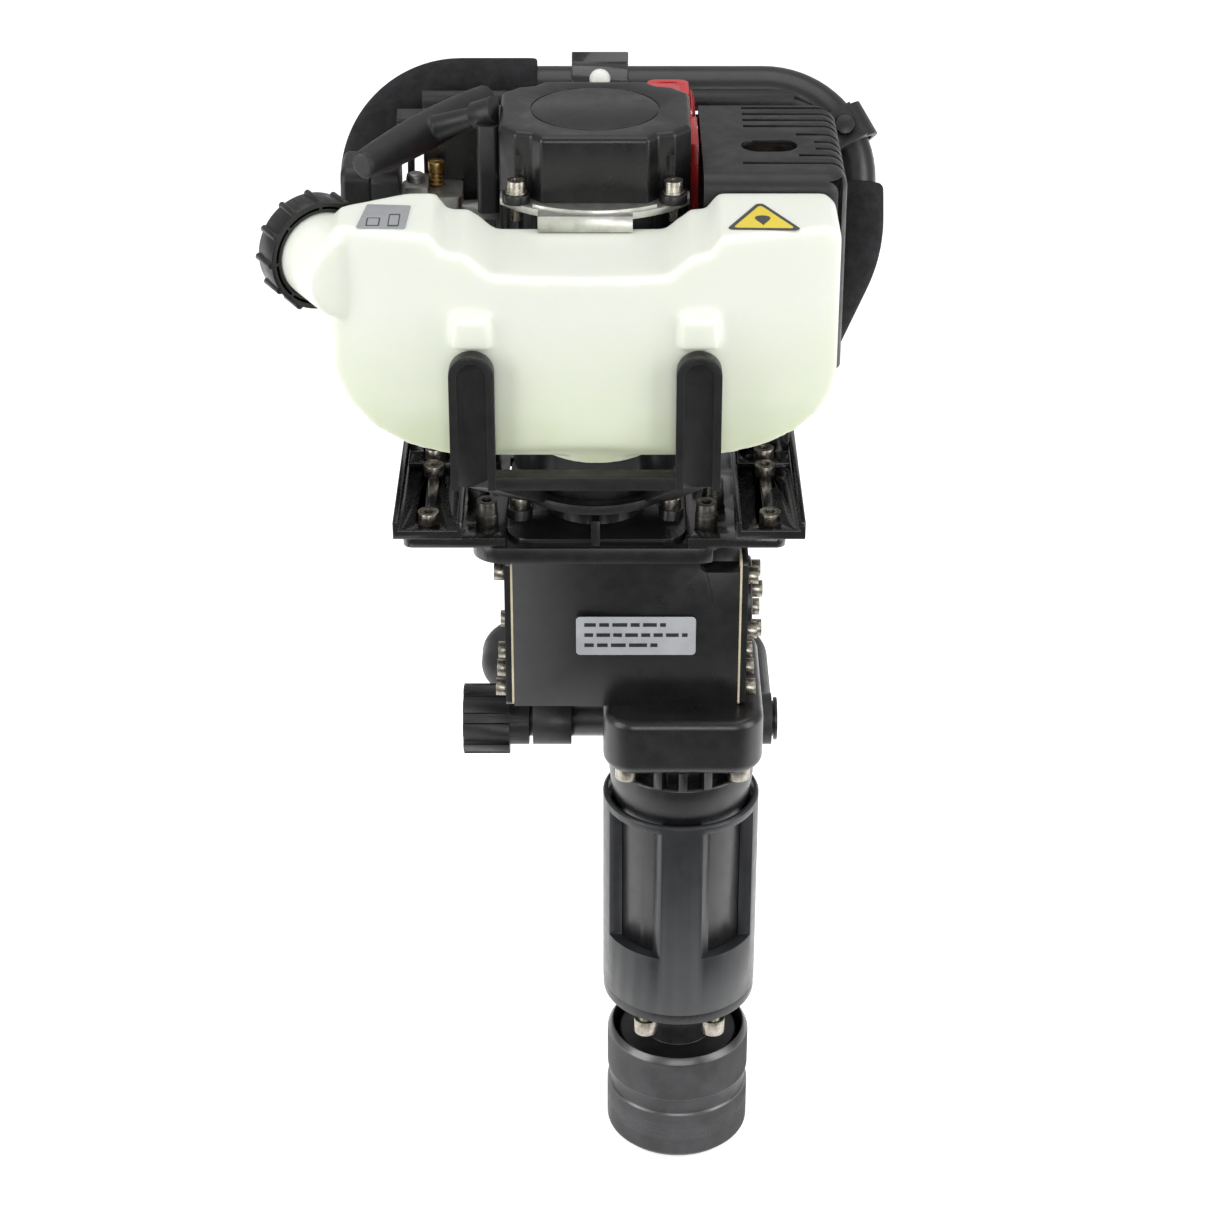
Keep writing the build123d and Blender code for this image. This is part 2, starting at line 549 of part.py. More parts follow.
# ---- starter ---------------------------------------------------------------------------------
STARTER_QUARTER = [(24, 39.5), (28.5, 33.5), (36, 31.5), (43.5, 23)]
STARTER_SCREWS = [(ENGINE_X + sx * 35.5, ENGINE_Y + sy * 37) for sx in (-1, 1) for sy in (-1, 1)]
BRACKET_Z0 = FAN_TOP
BRACKET_TAB = (-68.5, -26.0, 523.6)      # x from, x to, lowest z


def starter_outline():
    """Plan of the starter cover: a rounded square with a proud panel on the front and back."""
    quarter = STARTER_QUARTER
    right_back = quarter
    right_front = [(x, -y) for x, y in reversed(quarter)]
    left_front = [(-x, -y) for x, y in quarter]
    left_back = [(-x, y) for x, y in reversed(quarter)]
    return right_back + right_front + left_front + left_back


with BuildPart() as starter_cover:
    with BuildSketch(Plane(origin=(*SHAFT_AT, STARTER_Z0))) as starter_plan:
        with BuildLine():
            Polyline(*starter_outline(), close=True)
        make_face()
        fillet(starter_plan.vertices(), radius=3)
    extrude(amount=STARTER_Z1 - STARTER_Z0)
    fillet(edges().group_by(Axis.Z)[-1], radius=2.8)
    with BuildSketch(Plane(origin=(*SHAFT_AT, STARTER_Z0))):
        with BuildLine():
            Polyline(*[(x * 0.93, y * 0.93) for x, y in starter_outline()], close=True)
        make_face()
    extrude(amount=STARTER_Z1 - STARTER_Z0 - 3, mode=Mode.SUBTRACT)
    for seat in seats(STARTER_SCREWS, STARTER_Z0):
        disc(seat, 6.3, 4)
    drill(seats(STARTER_SCREWS, STARTER_Z0 + 4), 2.7, 10)
    for x, y in STARTER_SCREWS:
        disc(Plane(origin=(x, y, STARTER_Z0 + 4)), 5.6, 16, Mode.SUBTRACT)
    with BuildSketch(Plane(origin=(*SHAFT_AT, STARTER_Z1))):
        Circle(29.8)
        Circle(29.0, mode=Mode.SUBTRACT)
    extrude(amount=-0.5, mode=Mode.SUBTRACT)
save(starter_cover, "starter_cover")

with BuildPart() as tank_bracket:
    with BuildSketch(Plane(origin=(*SHAFT_AT, BRACKET_Z0))):
        Circle(54)
        with Locations((0, -6)):
            Rectangle(86, 99, mode=Mode.INTERSECT)
        Circle(36, mode=Mode.SUBTRACT)
    extrude(amount=STARTER_Z0 - BRACKET_Z0)
    with BuildSketch(Plane(origin=(*SHAFT_AT, STARTER_Z0))):
        Circle(52)
        Circle(50.6, mode=Mode.SUBTRACT)
        with Locations((0, -50)):
            Rectangle(56, 50, mode=Mode.INTERSECT)
    extrude(amount=1.2)
    slab(BRACKET_TAB[0], BRACKET_TAB[1], -36, -33, BRACKET_TAB[2], STARTER_Z0)
    slab(BRACKET_TAB[0], BRACKET_TAB[1], -36, -28, BRACKET_Z0, STARTER_Z0)
    drill(seats(STARTER_SCREWS, STARTER_Z0), 2.7, 10)
save(tank_bracket, "tank_bracket")

WASHER_T = 1.2
with BuildPart() as m5_screws:
    cap_screws(side_seats(COVER_SCREWS_LEFT, LEFT_OUT, -1), M5_HEAD, 14)
    cap_screws(side_seats(COVER_SCREWS_RIGHT, RIGHT_OUT, 1), M5_HEAD, 14)
    cap_screws(side_seats(BEARING_SCREWS, BEARING_CAP_OUT, 1), M5_HEAD, 7)
    for seat in seats(STARTER_SCREWS, STARTER_Z0 + 4):
        disc(seat, 4.9, WASHER_T)
    cap_screws(seats(STARTER_SCREWS, STARTER_Z0 + 4 + WASHER_T), M5_HEAD, 14)
save(m5_screws, "m5_screws")

ROPE_END = Vector(-98.0, 30.0, 555.0)            # where the rope leaves its guide
PULL = Vector(-0.80, 0.45, -0.40).normalized()
ROPE_R = 1.75
GUIDE_R = 6.5
with BuildPart() as rope_guide:
    slab(-97.5, ENGINE_X - 44.4, 17, 35, 512, 554)
    fillet(edges().filter_by(Axis.Z), radius=2.5)
    with BuildSketch(Plane(origin=ROPE_END - PULL * 12, z_dir=PULL)):
        Circle(GUIDE_R)
    extrude(amount=12)
    slab(ENGINE_X - 44.4, ENGINE_X - 30, 0, 50, 500, 580, Mode.SUBTRACT)
    disc(Plane(origin=ROPE_END, z_dir=PULL), 16, 12, Mode.SUBTRACT)
    with BuildSketch(Plane(origin=ROPE_END, z_dir=PULL)):
        Circle(ROPE_R + SLIP)
    extrude(amount=-6, mode=Mode.SUBTRACT)
save(rope_guide, "rope_guide")

HANDLE_REACH = 30.0          # from the guide to the middle of the T-bar
with BuildPart() as starter_rope:
    with BuildSketch(Plane(origin=ROPE_END - PULL * 5, z_dir=PULL)):
        Circle(ROPE_R)
    extrude(amount=5 + HANDLE_REACH - 2)
save(starter_rope, "starter_rope")

T_BAR_DIR = Vector(0.49, 0.87, 0.0).normalized()
T_BAR_HALF = 54.0
T_CENTRE = ROPE_END + PULL * HANDLE_REACH
with BuildPart() as starter_handle:
    with BuildSketch(Plane(origin=T_CENTRE - T_BAR_DIR * T_BAR_HALF, x_dir=PULL, z_dir=T_BAR_DIR)):
        Ellipse(5.5, 6.5)
    with BuildSketch(Plane(origin=T_CENTRE, x_dir=PULL, z_dir=T_BAR_DIR)):
        Ellipse(7.5, 9)
    with BuildSketch(Plane(origin=T_CENTRE + T_BAR_DIR * T_BAR_HALF, x_dir=PULL, z_dir=T_BAR_DIR)):
        Ellipse(5.5, 6.5)
    loft()
    with BuildSketch(Plane(origin=ROPE_END + PULL * 0.5, z_dir=PULL)):
        Circle(4.6)
    with BuildSketch(Plane(origin=T_CENTRE, z_dir=PULL)):
        Circle(6.5)
    loft()
    with BuildSketch(Plane(origin=ROPE_END, z_dir=PULL)):
        Circle(ROPE_R + 2 * SLIP)
    extrude(amount=HANDLE_REACH, mode=Mode.SUBTRACT)
save(starter_handle, "starter_handle")

# ---- fuel tank, cap and guard ----------------------------------------------------------------
TANK_SIDE_Y = -70.0
TANK_FRONT_Y = -90.0
NECK_FACE = -8.0                         # the slanted face that carries the neck, from the cap's rim
SADDLE_Z = 523.0
STEP_Z = 532.0                           # a ledge either side of the saddle's floor
SADDLE_LEFT = (-115.0, -109.0, -99.0, -88.0)
SADDLE_RIGHT = (-11.0, 0.0, 7.0, 13.0)
LOW_CORNER_W, LOW_CORNER_H = 40.0, 36.0  # the rounding of the tank's lower corners


def tank_body(inset):
    """Tank block with a bowed front and a saddle under the bracket's tab, shrunk by inset."""
    left, right = TANK_X0 + inset, TANK_X1 - inset
    back, side, front = TANK_BACK_Y - inset, TANK_SIDE_Y + inset, TANK_FRONT_Y + inset
    with BuildSketch(Plane.XY.offset(TANK_Z0 + inset)) as plan:
        face = CAP_RIM + CAP_AXIS * (NECK_FACE - inset)
        slope = CAP_AXIS.X / CAP_AXIS.Y
        face_left = (left, face.Y + (face.X - left) * slope)
        face_back = (face.X + (face.Y - back) / slope, back)
        with BuildLine():
            Line(face_back, face_left)
            Line(face_left, (left, side))
            ThreePointArc((left, side), ((left + right) / 2, front), (right, side))
            Line((right, side), (right, back))
            Line((right, back), face_back)
        make_face()
        fillet(plan.vertices().filter_by(lambda corner: corner.Y < side + 1 or corner.X > 0), radius=12)
    extrude(plan.sketch, amount=TANK_Z1 - TANK_Z0 - 2 * inset)
    low = TANK_Z0 + inset
    rise = LOW_CORNER_H - inset
    with BuildSketch(Plane.XZ.offset(-back - 1)) as corners:
        for wall, run in ((left, LOW_CORNER_W - inset), (right, inset - LOW_CORNER_W)):
            with BuildLine():
                Line((wall, low + rise), (wall, low))
                Line((wall, low), (wall + run, low))
                Spline((wall + run, low), (wall + 0.29 * run, low + 0.29 * rise), (wall, low + rise),
                       tangents=((-run, 0), (0, rise)))
            make_face()
    extrude(corners.sketch, amount=90, mode=Mode.SUBTRACT)
    top = TANK_Z1 - inset
    floor = SADDLE_Z - inset
    ledge = STEP_Z - inset
    with BuildSketch(Plane.XZ.offset(-back - 1)) as saddle:
        with BuildLine():
            left_side = zip(SADDLE_LEFT, (top + 1, ledge, ledge, floor))
            right_side = zip(SADDLE_RIGHT, (floor, ledge, ledge, top + 1))
            Polyline(
                *[(x - inset, z) for x, z in left_side], *[(x + inset, z) for x, z in right_side],
                close=True,
            )
        make_face()
    extrude(saddle.sketch, amount=90, mode=Mode.SUBTRACT)


def along_cap(start):
    """Plane across the filler neck's axis, a distance out from the cap's open rim."""
    return Plane(origin=CAP_RIM + CAP_AXIS * start, x_dir=(0, 0, 1), z_dir=CAP_AXIS)


NECK_END = 9.0
with BuildPart(mode=Mode.PRIVATE) as tank_inside:
    tank_body(TANK_WALL)
with BuildPart() as fuel_tank:
    tank_body(0)
    with BuildSketch(along_cap(-24)):
        Circle(NECK_OUT_R)
    extrude(amount=24 + NECK_END)
    with BuildSketch(along_cap(-22)):
        Circle(NECK_OUT_R - TANK_WALL)
    extrude(amount=22 + NECK_END, mode=Mode.SUBTRACT)
    add(tank_inside.part, mode=Mode.SUBTRACT)
save(fuel_tank, "fuel_tank")

CAP_LENGTH = 14.0
CAP_CROWN = 3.0
CAP_OUT_R = 25.0
with BuildPart() as fuel_cap:
    with BuildSketch(along_cap(0)):
        Circle(CAP_OUT_R)
        with PolarLocations(CAP_OUT_R, 12):
            Circle(1.6)
    extrude(amount=CAP_LENGTH)
    with BuildSketch(along_cap(0)):
        Circle(CAP_OUT_R - 2.2)
        Circle(NECK_OUT_R + 1.6, mode=Mode.SUBTRACT)
        with PolarLocations(CAP_OUT_R - 3, 8):
            Rectangle(4, 1.4, mode=Mode.SUBTRACT)
    extrude(amount=CAP_LENGTH - CAP_CROWN, mode=Mode.SUBTRACT)
    with BuildSketch(along_cap(0)):
        Circle(NECK_OUT_R + 0.4)
    extrude(amount=CAP_LENGTH - CAP_CROWN, mode=Mode.SUBTRACT)
save(fuel_cap, "fuel_cap")

with BuildPart() as cap_seal:
    with BuildSketch(along_cap(NECK_END + 0.1)):
        Circle(NECK_OUT_R - 0.5)
    extrude(amount=CAP_LENGTH - CAP_CROWN - NECK_END - 0.2)
save(cap_seal, "cap_seal")

PRONG_X = (-97.0, 3.0)
PRONG_W = 20.0
PRONG_Z0, PRONG_Z1 = 424.0, 489.0
PRONG_Y = -88.5            # back face of the prongs
PRONG_WEB, PRONG_LIP = 3.0, 3.5
RING_Z0, RING_Z1 = 374.5, 379.0


def arch(x, shrink, y):
    """Upright outline with a round top and a square foot, shrunk all round except at the foot."""
    half = PRONG_W / 2 - shrink
    shoulder = PRONG_Z1 - PRONG_W / 2
    with BuildSketch(Plane.XZ.offset(-y)) as face:
        with Locations((x, shoulder)):
            Circle(half)
        with Locations((x, (shoulder + PRONG_Z0) / 2)):
            Rectangle(2 * half, shoulder - PRONG_Z0)
    return face.sketch


def prong(x):
    """Channel-shaped upright: a web at the back, and a lip up both sides and round the top."""
    extrude(arch(x, 0, PRONG_Y), amount=7)
    extrude(arch(x, PRONG_LIP, PRONG_Y - PRONG_WEB), amount=5, mode=Mode.SUBTRACT)


with BuildPart() as tank_guard:
    for prong_x in PRONG_X:
        prong(prong_x)
    slab(PRONG_X[0] + 8, PRONG_X[1] - 8, -95, -86, 424, 430)
    for prong_x, ring_x in ((PRONG_X[0], ENGINE_X - 30), (PRONG_X[1], ENGINE_X + 30)):
        run = Vector(ring_x - prong_x, -4 + 90, RING_Z0 + 2 - 427)
        with BuildSketch(Plane(origin=(prong_x, -90, 427), x_dir=(0, 0, 1), z_dir=run)):
            Rectangle(6, 14)
        extrude(amount=run.length)
    with BuildSketch(Plane(origin=(*SHAFT_AT, RING_Z0))):
        Circle(41)
    extrude(amount=RING_Z1 - RING_Z0)
    disc(Plane(origin=(*SHAFT_AT, RING_Z0 - 10)), CLUTCH_R + 0.2, 30, Mode.SUBTRACT)
save(tank_guard, "tank_guard")

# ---- air filter and carburettor --------------------------------------------------------------
with BuildPart() as air_filter:
    slab(-162, -135, 28, 60, 478, 529)
    fillet(edges().filter_by(Axis.X).group_by(Axis.Z)[-1], radius=7)
    fillet(edges().filter_by(Axis.Y).group_by(Axis.X)[0], radius=3)
    slab(-148.6, -147.4, 20, 70, 470, 540, Mode.SUBTRACT)
    slab(-150, -146, 30, 58, 480, 527)
    slab(-144, -136, 40, 48, 528, 532)
save(air_filter, "air_filter")

CARB_BOX = (-134.8, -106.0, 38.0, 62.0, 486.0, 512.0)
CHOKE_PIVOT = (69.0, 500.0)
CHOKE_X = -133.0
IDLE_AT = (-118.5, 55.0)
IDLE_TOP = 524.0
with BuildPart() as carburettor:
    x0, x1, y0, y1, z0, z1 = CARB_BOX
    slab(x0, x1, y0, y1, z0, z1)
    fillet(edges().filter_by(Axis.Z), radius=3)
    slab(x0 + 2, -122, y0 + 2, y1 - 2, z1, z1 + 4)
    disc(Plane(origin=(-128, 50, z1 + 4)), 4.2, 4)
    fillet(edges().group_by(Axis.Z)[-1], radius=2)
    disc(Plane(origin=(*IDLE_AT, z1 - 8)), 2.3, 12, Mode.SUBTRACT)
    slab(CHOKE_X + 3.4, -123, y1 - 1, CHOKE_PIVOT[0] + 5, 494, 506)
    disc(Plane(origin=(CHOKE_X - 1, *CHOKE_PIVOT), z_dir=(1, 0, 0)), 2.5, 5)
    with BuildLine():
        FilletPolyline((x1 - 0.5, 49, 498), (-90, 51, 498), (-70, 84, 468), (-57, 85, 467), radius=[14, 12])
    with BuildSketch(Plane(origin=(x1 - 0.5, 49, 498), z_dir=(-90 - x1 + 0.5, 2, 0))):
        Circle(8)
    sweep()
save(carburettor, "carburettor")

with BuildPart() as idle_screw:
    disc(Plane(origin=(*IDLE_AT, CARB_BOX[5] - 7)), 2.25, 14)
    disc(Plane(origin=(*IDLE_AT, IDLE_TOP - 5)), 3.8, 5)
    slab(IDLE_AT[0] - 5, IDLE_AT[0] + 5, IDLE_AT[1] - 0.5, IDLE_AT[1] + 0.5, IDLE_TOP - 1.5, IDLE_TOP + 1,
         Mode.SUBTRACT)
    for turn in range(3):
        disc(Plane(origin=(*IDLE_AT, CARB_BOX[5] + 0.6 + 2.2 * turn)), 3.3, 1.2)
save(idle_screw, "idle_screw")

with BuildPart() as choke_lever:
    with BuildSketch(Plane.YZ.offset(CHOKE_X)):
        with Locations(CHOKE_PIVOT):
            Circle(6)
        with BuildLine():
            Polyline((65, 501), (73, 499), (85, 533), (77, 536), close=True)
        make_face()
    extrude(amount=3)
    with BuildSketch(Plane.YZ.offset(-138)):
        with Locations(Location((81, 535), 20)):
            RectangleRounded(10, 8, 2)
    extrude(amount=12)
    with BuildSketch(Plane.YZ.offset(-134)):
        with Locations(CHOKE_PIVOT):
            Circle(2.55)
    extrude(amount=6, mode=Mode.SUBTRACT)
save(choke_lever, "choke_lever")

# ---- loop handle and its controls ------------------------------------------------------------
LOOP_LEFT_X, LOOP_RIGHT_X = -155.0, 85.0
LOOP_BACK = (140.0, 531.0)               # y and z of the back bar
LOOP_BEND = (100.0, 462.0)               # y and z where the arms lean in
LOOP_FOOT = (72.0, 372.0)                # y and z of the arms' lower ends
CORNER_R, BEND_R = 45.0, 60.0
LOOP = [
    Vector(RAIL_X[0], *LOOP_FOOT), Vector(LOOP_LEFT_X, *LOOP_BEND), Vector(LOOP_LEFT_X, *LOOP_BACK),
    Vector(LOOP_RIGHT_X, *LOOP_BACK), Vector(LOOP_RIGHT_X, *LOOP_BEND), Vector(RAIL_X[1], *LOOP_FOOT),
]
LEFT_FOAM_END_X = -71.7
FOAM_LOW = 0.70                          # share of the lower run that the foam covers
RIGHT_FOAM_TOP = 0.40                    # share of the upper run that the right foam covers

with BuildPart() as loop_handle:
    tube_along(LOOP, [BEND_R, CORNER_R, CORNER_R, BEND_R], HANDLE_TUBE_R, HANDLE_TUBE_R - 1.8)
save(loop_handle, "loop_handle")

with BuildPart() as foam_grips:
    tube_along(
        [LOOP[1] + (LOOP[0] - LOOP[1]) * FOAM_LOW, LOOP[1], LOOP[2], Vector(LEFT_FOAM_END_X, *LOOP_BACK)],
        [BEND_R, CORNER_R], FOAM_R, HANDLE_TUBE_R + 0.2,
    )
    tube_along(
        [LOOP[4] + (LOOP[3] - LOOP[4]) * RIGHT_FOAM_TOP, LOOP[4], LOOP[4] + (LOOP[5] - LOOP[4]) * FOAM_LOW],
        [BEND_R], FOAM_R, HANDLE_TUBE_R + 0.2,
    )
save(foam_grips, "foam_grips")

LOOP_UP = Vector(0, LOOP_BACK[0] - LOOP_BEND[0], LOOP_BACK[1] - LOOP_BEND[1]).normalized()
LOOP_OUT = LOOP_UP.cross(Vector(1, 0, 0))        # square to the loop's plane, away from the engine
CLAMP_X = (-55.0, -27.0)
with BuildPart() as handle_clamp:
    clamp_plane = Plane(origin=(CLAMP_X[0], *LOOP_BACK), x_dir=LOOP_OUT, z_dir=(1, 0, 0))
    with BuildSketch(clamp_plane):
        Circle(HANDLE_TUBE_R + 2.5)
        with Locations((0, -13)):
            Rectangle(8, 14)
        with Locations((0, 13)):
            Rectangle(12, 8)
        Circle(HANDLE_TUBE_R + 0.2, mode=Mode.SUBTRACT)
    extrude(amount=CLAMP_X[1] - CLAMP_X[0])
save(handle_clamp, "handle_clamp")

FOOT_TOP = 386.0
with BuildPart() as handle_feet:
    for x in RAIL_X:
        slab(x - 13, x + 13, 49, 97, PLATE_TOP + RAIL_T, PLATE_TOP + RAIL_T + FOOT_PLATE_T)
        slab(x - 13, x + 13, 62.5, 81.5, PLATE_TOP + RAIL_T, FOOT_TOP)
    for end, bend in ((LOOP[0], LOOP[1]), (LOOP[5], LOOP[4])):
        with BuildSketch(Plane(origin=end, z_dir=bend - end)):
            Circle(HANDLE_TUBE_R + 0.2)
        extrude(amount=60, both=True, mode=Mode.SUBTRACT)
    drill(seats(FOOT_BOLTS, PLATE_TOP + RAIL_T + FOOT_PLATE_T), 3.3, 20)
save(handle_feet, "handle_feet")

CONTROL_ANGLE = math.radians(30)         # place of the throttle clamp on the right corner
LOOP_SIDE = Vector(1, 0, 0)
CORNER_CENTRE = LOOP[3] - (LOOP_SIDE + LOOP_UP) * CORNER_R
CONTROL_SPOKE = LOOP_SIDE * math.cos(CONTROL_ANGLE) + LOOP_UP * math.sin(CONTROL_ANGLE)
CONTROL_AT = CORNER_CENTRE + CONTROL_SPOKE * CORNER_R
CONTROL_RUN = LOOP_UP * math.cos(CONTROL_ANGLE) - LOOP_SIDE * math.sin(CONTROL_ANGLE)
LEVER_OUT = 21.0                         # pivot's distance from the tube, on the outer side
LEVER_PIVOT = CONTROL_AT + LOOP_OUT * LEVER_OUT
BUTTON_SEAT = 20.0                       # the stop button's seat, on the inner side
with BuildPart() as throttle_clamp:
    with BuildSketch(Plane(origin=CONTROL_AT - CONTROL_RUN * 9, x_dir=LOOP_OUT, z_dir=CONTROL_RUN)):
        Circle(HANDLE_TUBE_R + 4.5)
        with Locations((-15, 0)):
            Rectangle(12, 16)
    extrude(amount=18)
    ear_plane = Plane(origin=LEVER_PIVOT + Vector(7.4, 0, 0), x_dir=LOOP_OUT, z_dir=(1, 0, 0))
    for shift in (0, -17.8):
        with BuildSketch(ear_plane.offset(shift)):
            Circle(5)
            with Locations((-6, 0)):
                Rectangle(12, 10)
        extrude(amount=3)
    with BuildSketch(Plane(origin=CONTROL_AT - CONTROL_RUN * 20, x_dir=LOOP_OUT, z_dir=CONTROL_RUN)):
        Circle(HANDLE_TUBE_R + 1.4)
    extrude(amount=40, mode=Mode.SUBTRACT)
    with BuildSketch(ear_plane.offset(-16)):
        Circle(2.5)
    extrude(amount=18)
    with BuildSketch(Plane(origin=CONTROL_AT - LOOP_OUT * (BUTTON_SEAT + 2), z_dir=LOOP_OUT)):
        Circle(5)
    extrude(amount=5, mode=Mode.SUBTRACT)
save(throttle_clamp, "throttle_clamp")

with BuildPart() as stop_button:
    with BuildSketch(Plane(origin=CONTROL_AT - LOOP_OUT * (BUTTON_SEAT + 5), z_dir=LOOP_OUT)):
        Circle(4.6)
    extrude(amount=5)
save(stop_button, "stop_button")

LEVER_W = 12.0
with BuildPart() as throttle_lever:
    lever_plane = Plane(origin=LEVER_PIVOT - Vector(LEVER_W / 2, 0, 0), x_dir=LOOP_OUT, z_dir=(1, 0, 0))
    down = -1 if lever_plane.y_dir.dot(LOOP_UP) > 0 else 1
    with BuildSketch(lever_plane):
        Circle(5)
        with BuildLine():
            Polyline(
                (-3, down * 3), (9, down * 20), (10, down * 66), (14, down * 76), (18, down * 74),
                (15, down * 62), (14, down * 18), (4, -down * 2), close=True,
            )
        make_face()
        Circle(2.55, mode=Mode.SUBTRACT)
    extrude(amount=LEVER_W)
save(throttle_lever, "throttle_lever")

CABLE_R = 3.0
with BuildPart() as control_cables:
    for lift, end_x, radius in ((Vector(0, -21.5, 1), -128.0, 5.0), (Vector(0, -22, -9), -60.0, CABLE_R)):
        start = Vector(56, *LOOP_BACK) + lift
        stop = Vector(end_x, *LOOP_BACK) + lift
        with BuildSketch(Plane(origin=stop, z_dir=start - stop)):
            Circle(radius)
        extrude(amount=(start - stop).length - 2)
save(control_cables, "control_cables")

with BuildPart() as fuel_hose:
    tube_along([(-99, -27.8, 505), (-99, -12, 506), (-104, 12, 499), (-112, 36.4, 494)], [12, 24], 3.2, 1.8)
    slab(-105, -88, -22, -8, 509.4, 519)
save(fuel_hose, "fuel_hose")

# ---- side handle -----------------------------------------------------------------------------
GRIP_X = (-94.0, 38.0)
GRIP_Y = 143.0
HUB_X = (-76.0, 28.0)
HUB_W = 20.0
HUB_R = BAR_R + 4.3
GRIP_R = 11.0
with BuildPart() as side_bracket:
    for x in (-30, 8):
        slab(x, x + 12, 44, 66, BAR_Z - 12, BLOCK_Z0)
    slab(-30, 20, 50, 66, BLOCK_Z0 - 6, BLOCK_Z0)
    disc(Plane(origin=(-40, BAR_Y, BAR_Z), z_dir=(1, 0, 0)), BAR_R + SLIP / 2, 80, Mode.SUBTRACT)
save(side_bracket, "side_bracket")

with BuildPart() as side_bar:
    disc(Plane(origin=(-84, BAR_Y, BAR_Z), z_dir=(1, 0, 0)), BAR_R, 133.5)
    disc(Plane(origin=(49.3, BAR_Y, BAR_Z), z_dir=(1, 0, 0)), BAR_R + 2, 1.6)
save(side_bar, "side_bar")

with BuildPart() as side_handle:
    tube_along(
        [
            (HUB_X[0] + 10, BAR_Y + 10, BAR_Z), (HUB_X[0] + 10, 80, BAR_Z), (GRIP_X[0], 106, BAR_Z),
            (GRIP_X[0], GRIP_Y, BAR_Z), (GRIP_X[1], GRIP_Y, BAR_Z), (GRIP_X[1], BAR_Y + 10, BAR_Z),
        ],
        [14, 16, 18, 24], GRIP_R,
    )
    for x in HUB_X:
        disc(Plane(origin=(x, BAR_Y, BAR_Z), z_dir=(1, 0, 0)), HUB_R, HUB_W)
    disc(Plane(origin=(-100, BAR_Y, BAR_Z), z_dir=(1, 0, 0)), BAR_R + RUN, 160, Mode.SUBTRACT)
save(side_handle, "side_handle")

KNOB_X = (-112.0, -78.0)
KNOB_R = 17.5
with BuildPart() as clamp_knob:
    with BuildSketch(Plane(origin=(KNOB_X[0], BAR_Y, BAR_Z), z_dir=(1, 0, 0))):
        Circle(KNOB_R - 1.5)
        with PolarLocations(KNOB_R - 2, 9):
            Rectangle(5, 6.5)
    extrude(amount=24)
    with BuildSketch(Plane(origin=(KNOB_X[0] + 24, BAR_Y, BAR_Z), z_dir=(1, 0, 0))):
        Circle(KNOB_R - 4)
    extrude(amount=KNOB_X[1] - KNOB_X[0] - 24)
    disc(Plane(origin=(-84 - 1, BAR_Y, BAR_Z), z_dir=(1, 0, 0)), BAR_R + RUN, 20, Mode.SUBTRACT)
save(clamp_knob, "clamp_knob")
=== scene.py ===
"""Looks of the petrol percussion driver head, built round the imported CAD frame."""

import json
import math
import random

import bmesh
import bpy
from mathutils import Matrix, Vector


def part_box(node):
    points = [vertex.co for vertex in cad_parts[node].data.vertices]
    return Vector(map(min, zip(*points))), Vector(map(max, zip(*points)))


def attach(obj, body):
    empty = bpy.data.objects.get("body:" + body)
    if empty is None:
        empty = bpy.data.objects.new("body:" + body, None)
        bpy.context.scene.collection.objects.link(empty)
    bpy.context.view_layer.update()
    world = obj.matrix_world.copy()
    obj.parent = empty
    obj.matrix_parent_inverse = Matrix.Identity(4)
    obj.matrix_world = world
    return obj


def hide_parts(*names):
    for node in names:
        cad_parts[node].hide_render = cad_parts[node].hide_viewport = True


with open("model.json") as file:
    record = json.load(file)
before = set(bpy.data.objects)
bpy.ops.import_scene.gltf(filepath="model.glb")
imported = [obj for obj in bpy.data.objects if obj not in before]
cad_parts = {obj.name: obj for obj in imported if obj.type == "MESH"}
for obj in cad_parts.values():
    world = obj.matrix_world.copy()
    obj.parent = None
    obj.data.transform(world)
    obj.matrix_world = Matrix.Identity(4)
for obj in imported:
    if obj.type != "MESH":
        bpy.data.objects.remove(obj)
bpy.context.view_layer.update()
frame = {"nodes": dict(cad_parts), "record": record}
nodes = frame["nodes"]
MM = 0.001
rng = random.Random(7)


# ---- materials ---------------------------------------------------------------------------------
def set_input(shader, name, value):
    """Set a shader socket to a constant."""
    shader.inputs[name].default_value = value


def noise(tree, scale, detail=3.0, rough=0.55, stretch=(1.0, 1.0, 1.0)):
    """Noise in the object's own coordinates, in cycles a metre."""
    coords = tree.nodes.new("ShaderNodeTexCoord")
    mapping = tree.nodes.new("ShaderNodeMapping")
    mapping.inputs["Scale"].default_value = stretch
    texture = tree.nodes.new("ShaderNodeTexNoise")
    texture.inputs["Scale"].default_value = scale
    texture.inputs["Detail"].default_value = detail
    texture.inputs["Roughness"].default_value = rough
    tree.links.new(coords.outputs["Object"], mapping.inputs["Vector"])
    tree.links.new(mapping.outputs["Vector"], texture.inputs["Vector"])
    return texture


def ramp(tree, source, low, high, start=0.35, end=0.65):
    """Colour ramp between two colours."""
    node = tree.nodes.new("ShaderNodeValToRGB")
    node.color_ramp.elements[0].position = start
    node.color_ramp.elements[0].color = (*low, 1.0)
    node.color_ramp.elements[1].position = end
    node.color_ramp.elements[1].color = (*high, 1.0)
    tree.links.new(source, node.inputs["Fac"])
    return node


def spread(tree, source, low, high):
    """Map a 0.3 to 0.7 noise onto a range of values."""
    node = tree.nodes.new("ShaderNodeMapRange")
    node.inputs["From Min"].default_value = 0.3
    node.inputs["From Max"].default_value = 0.7
    node.inputs["To Min"].default_value = low
    node.inputs["To Max"].default_value = high
    tree.links.new(source, node.inputs["Value"])
    return node


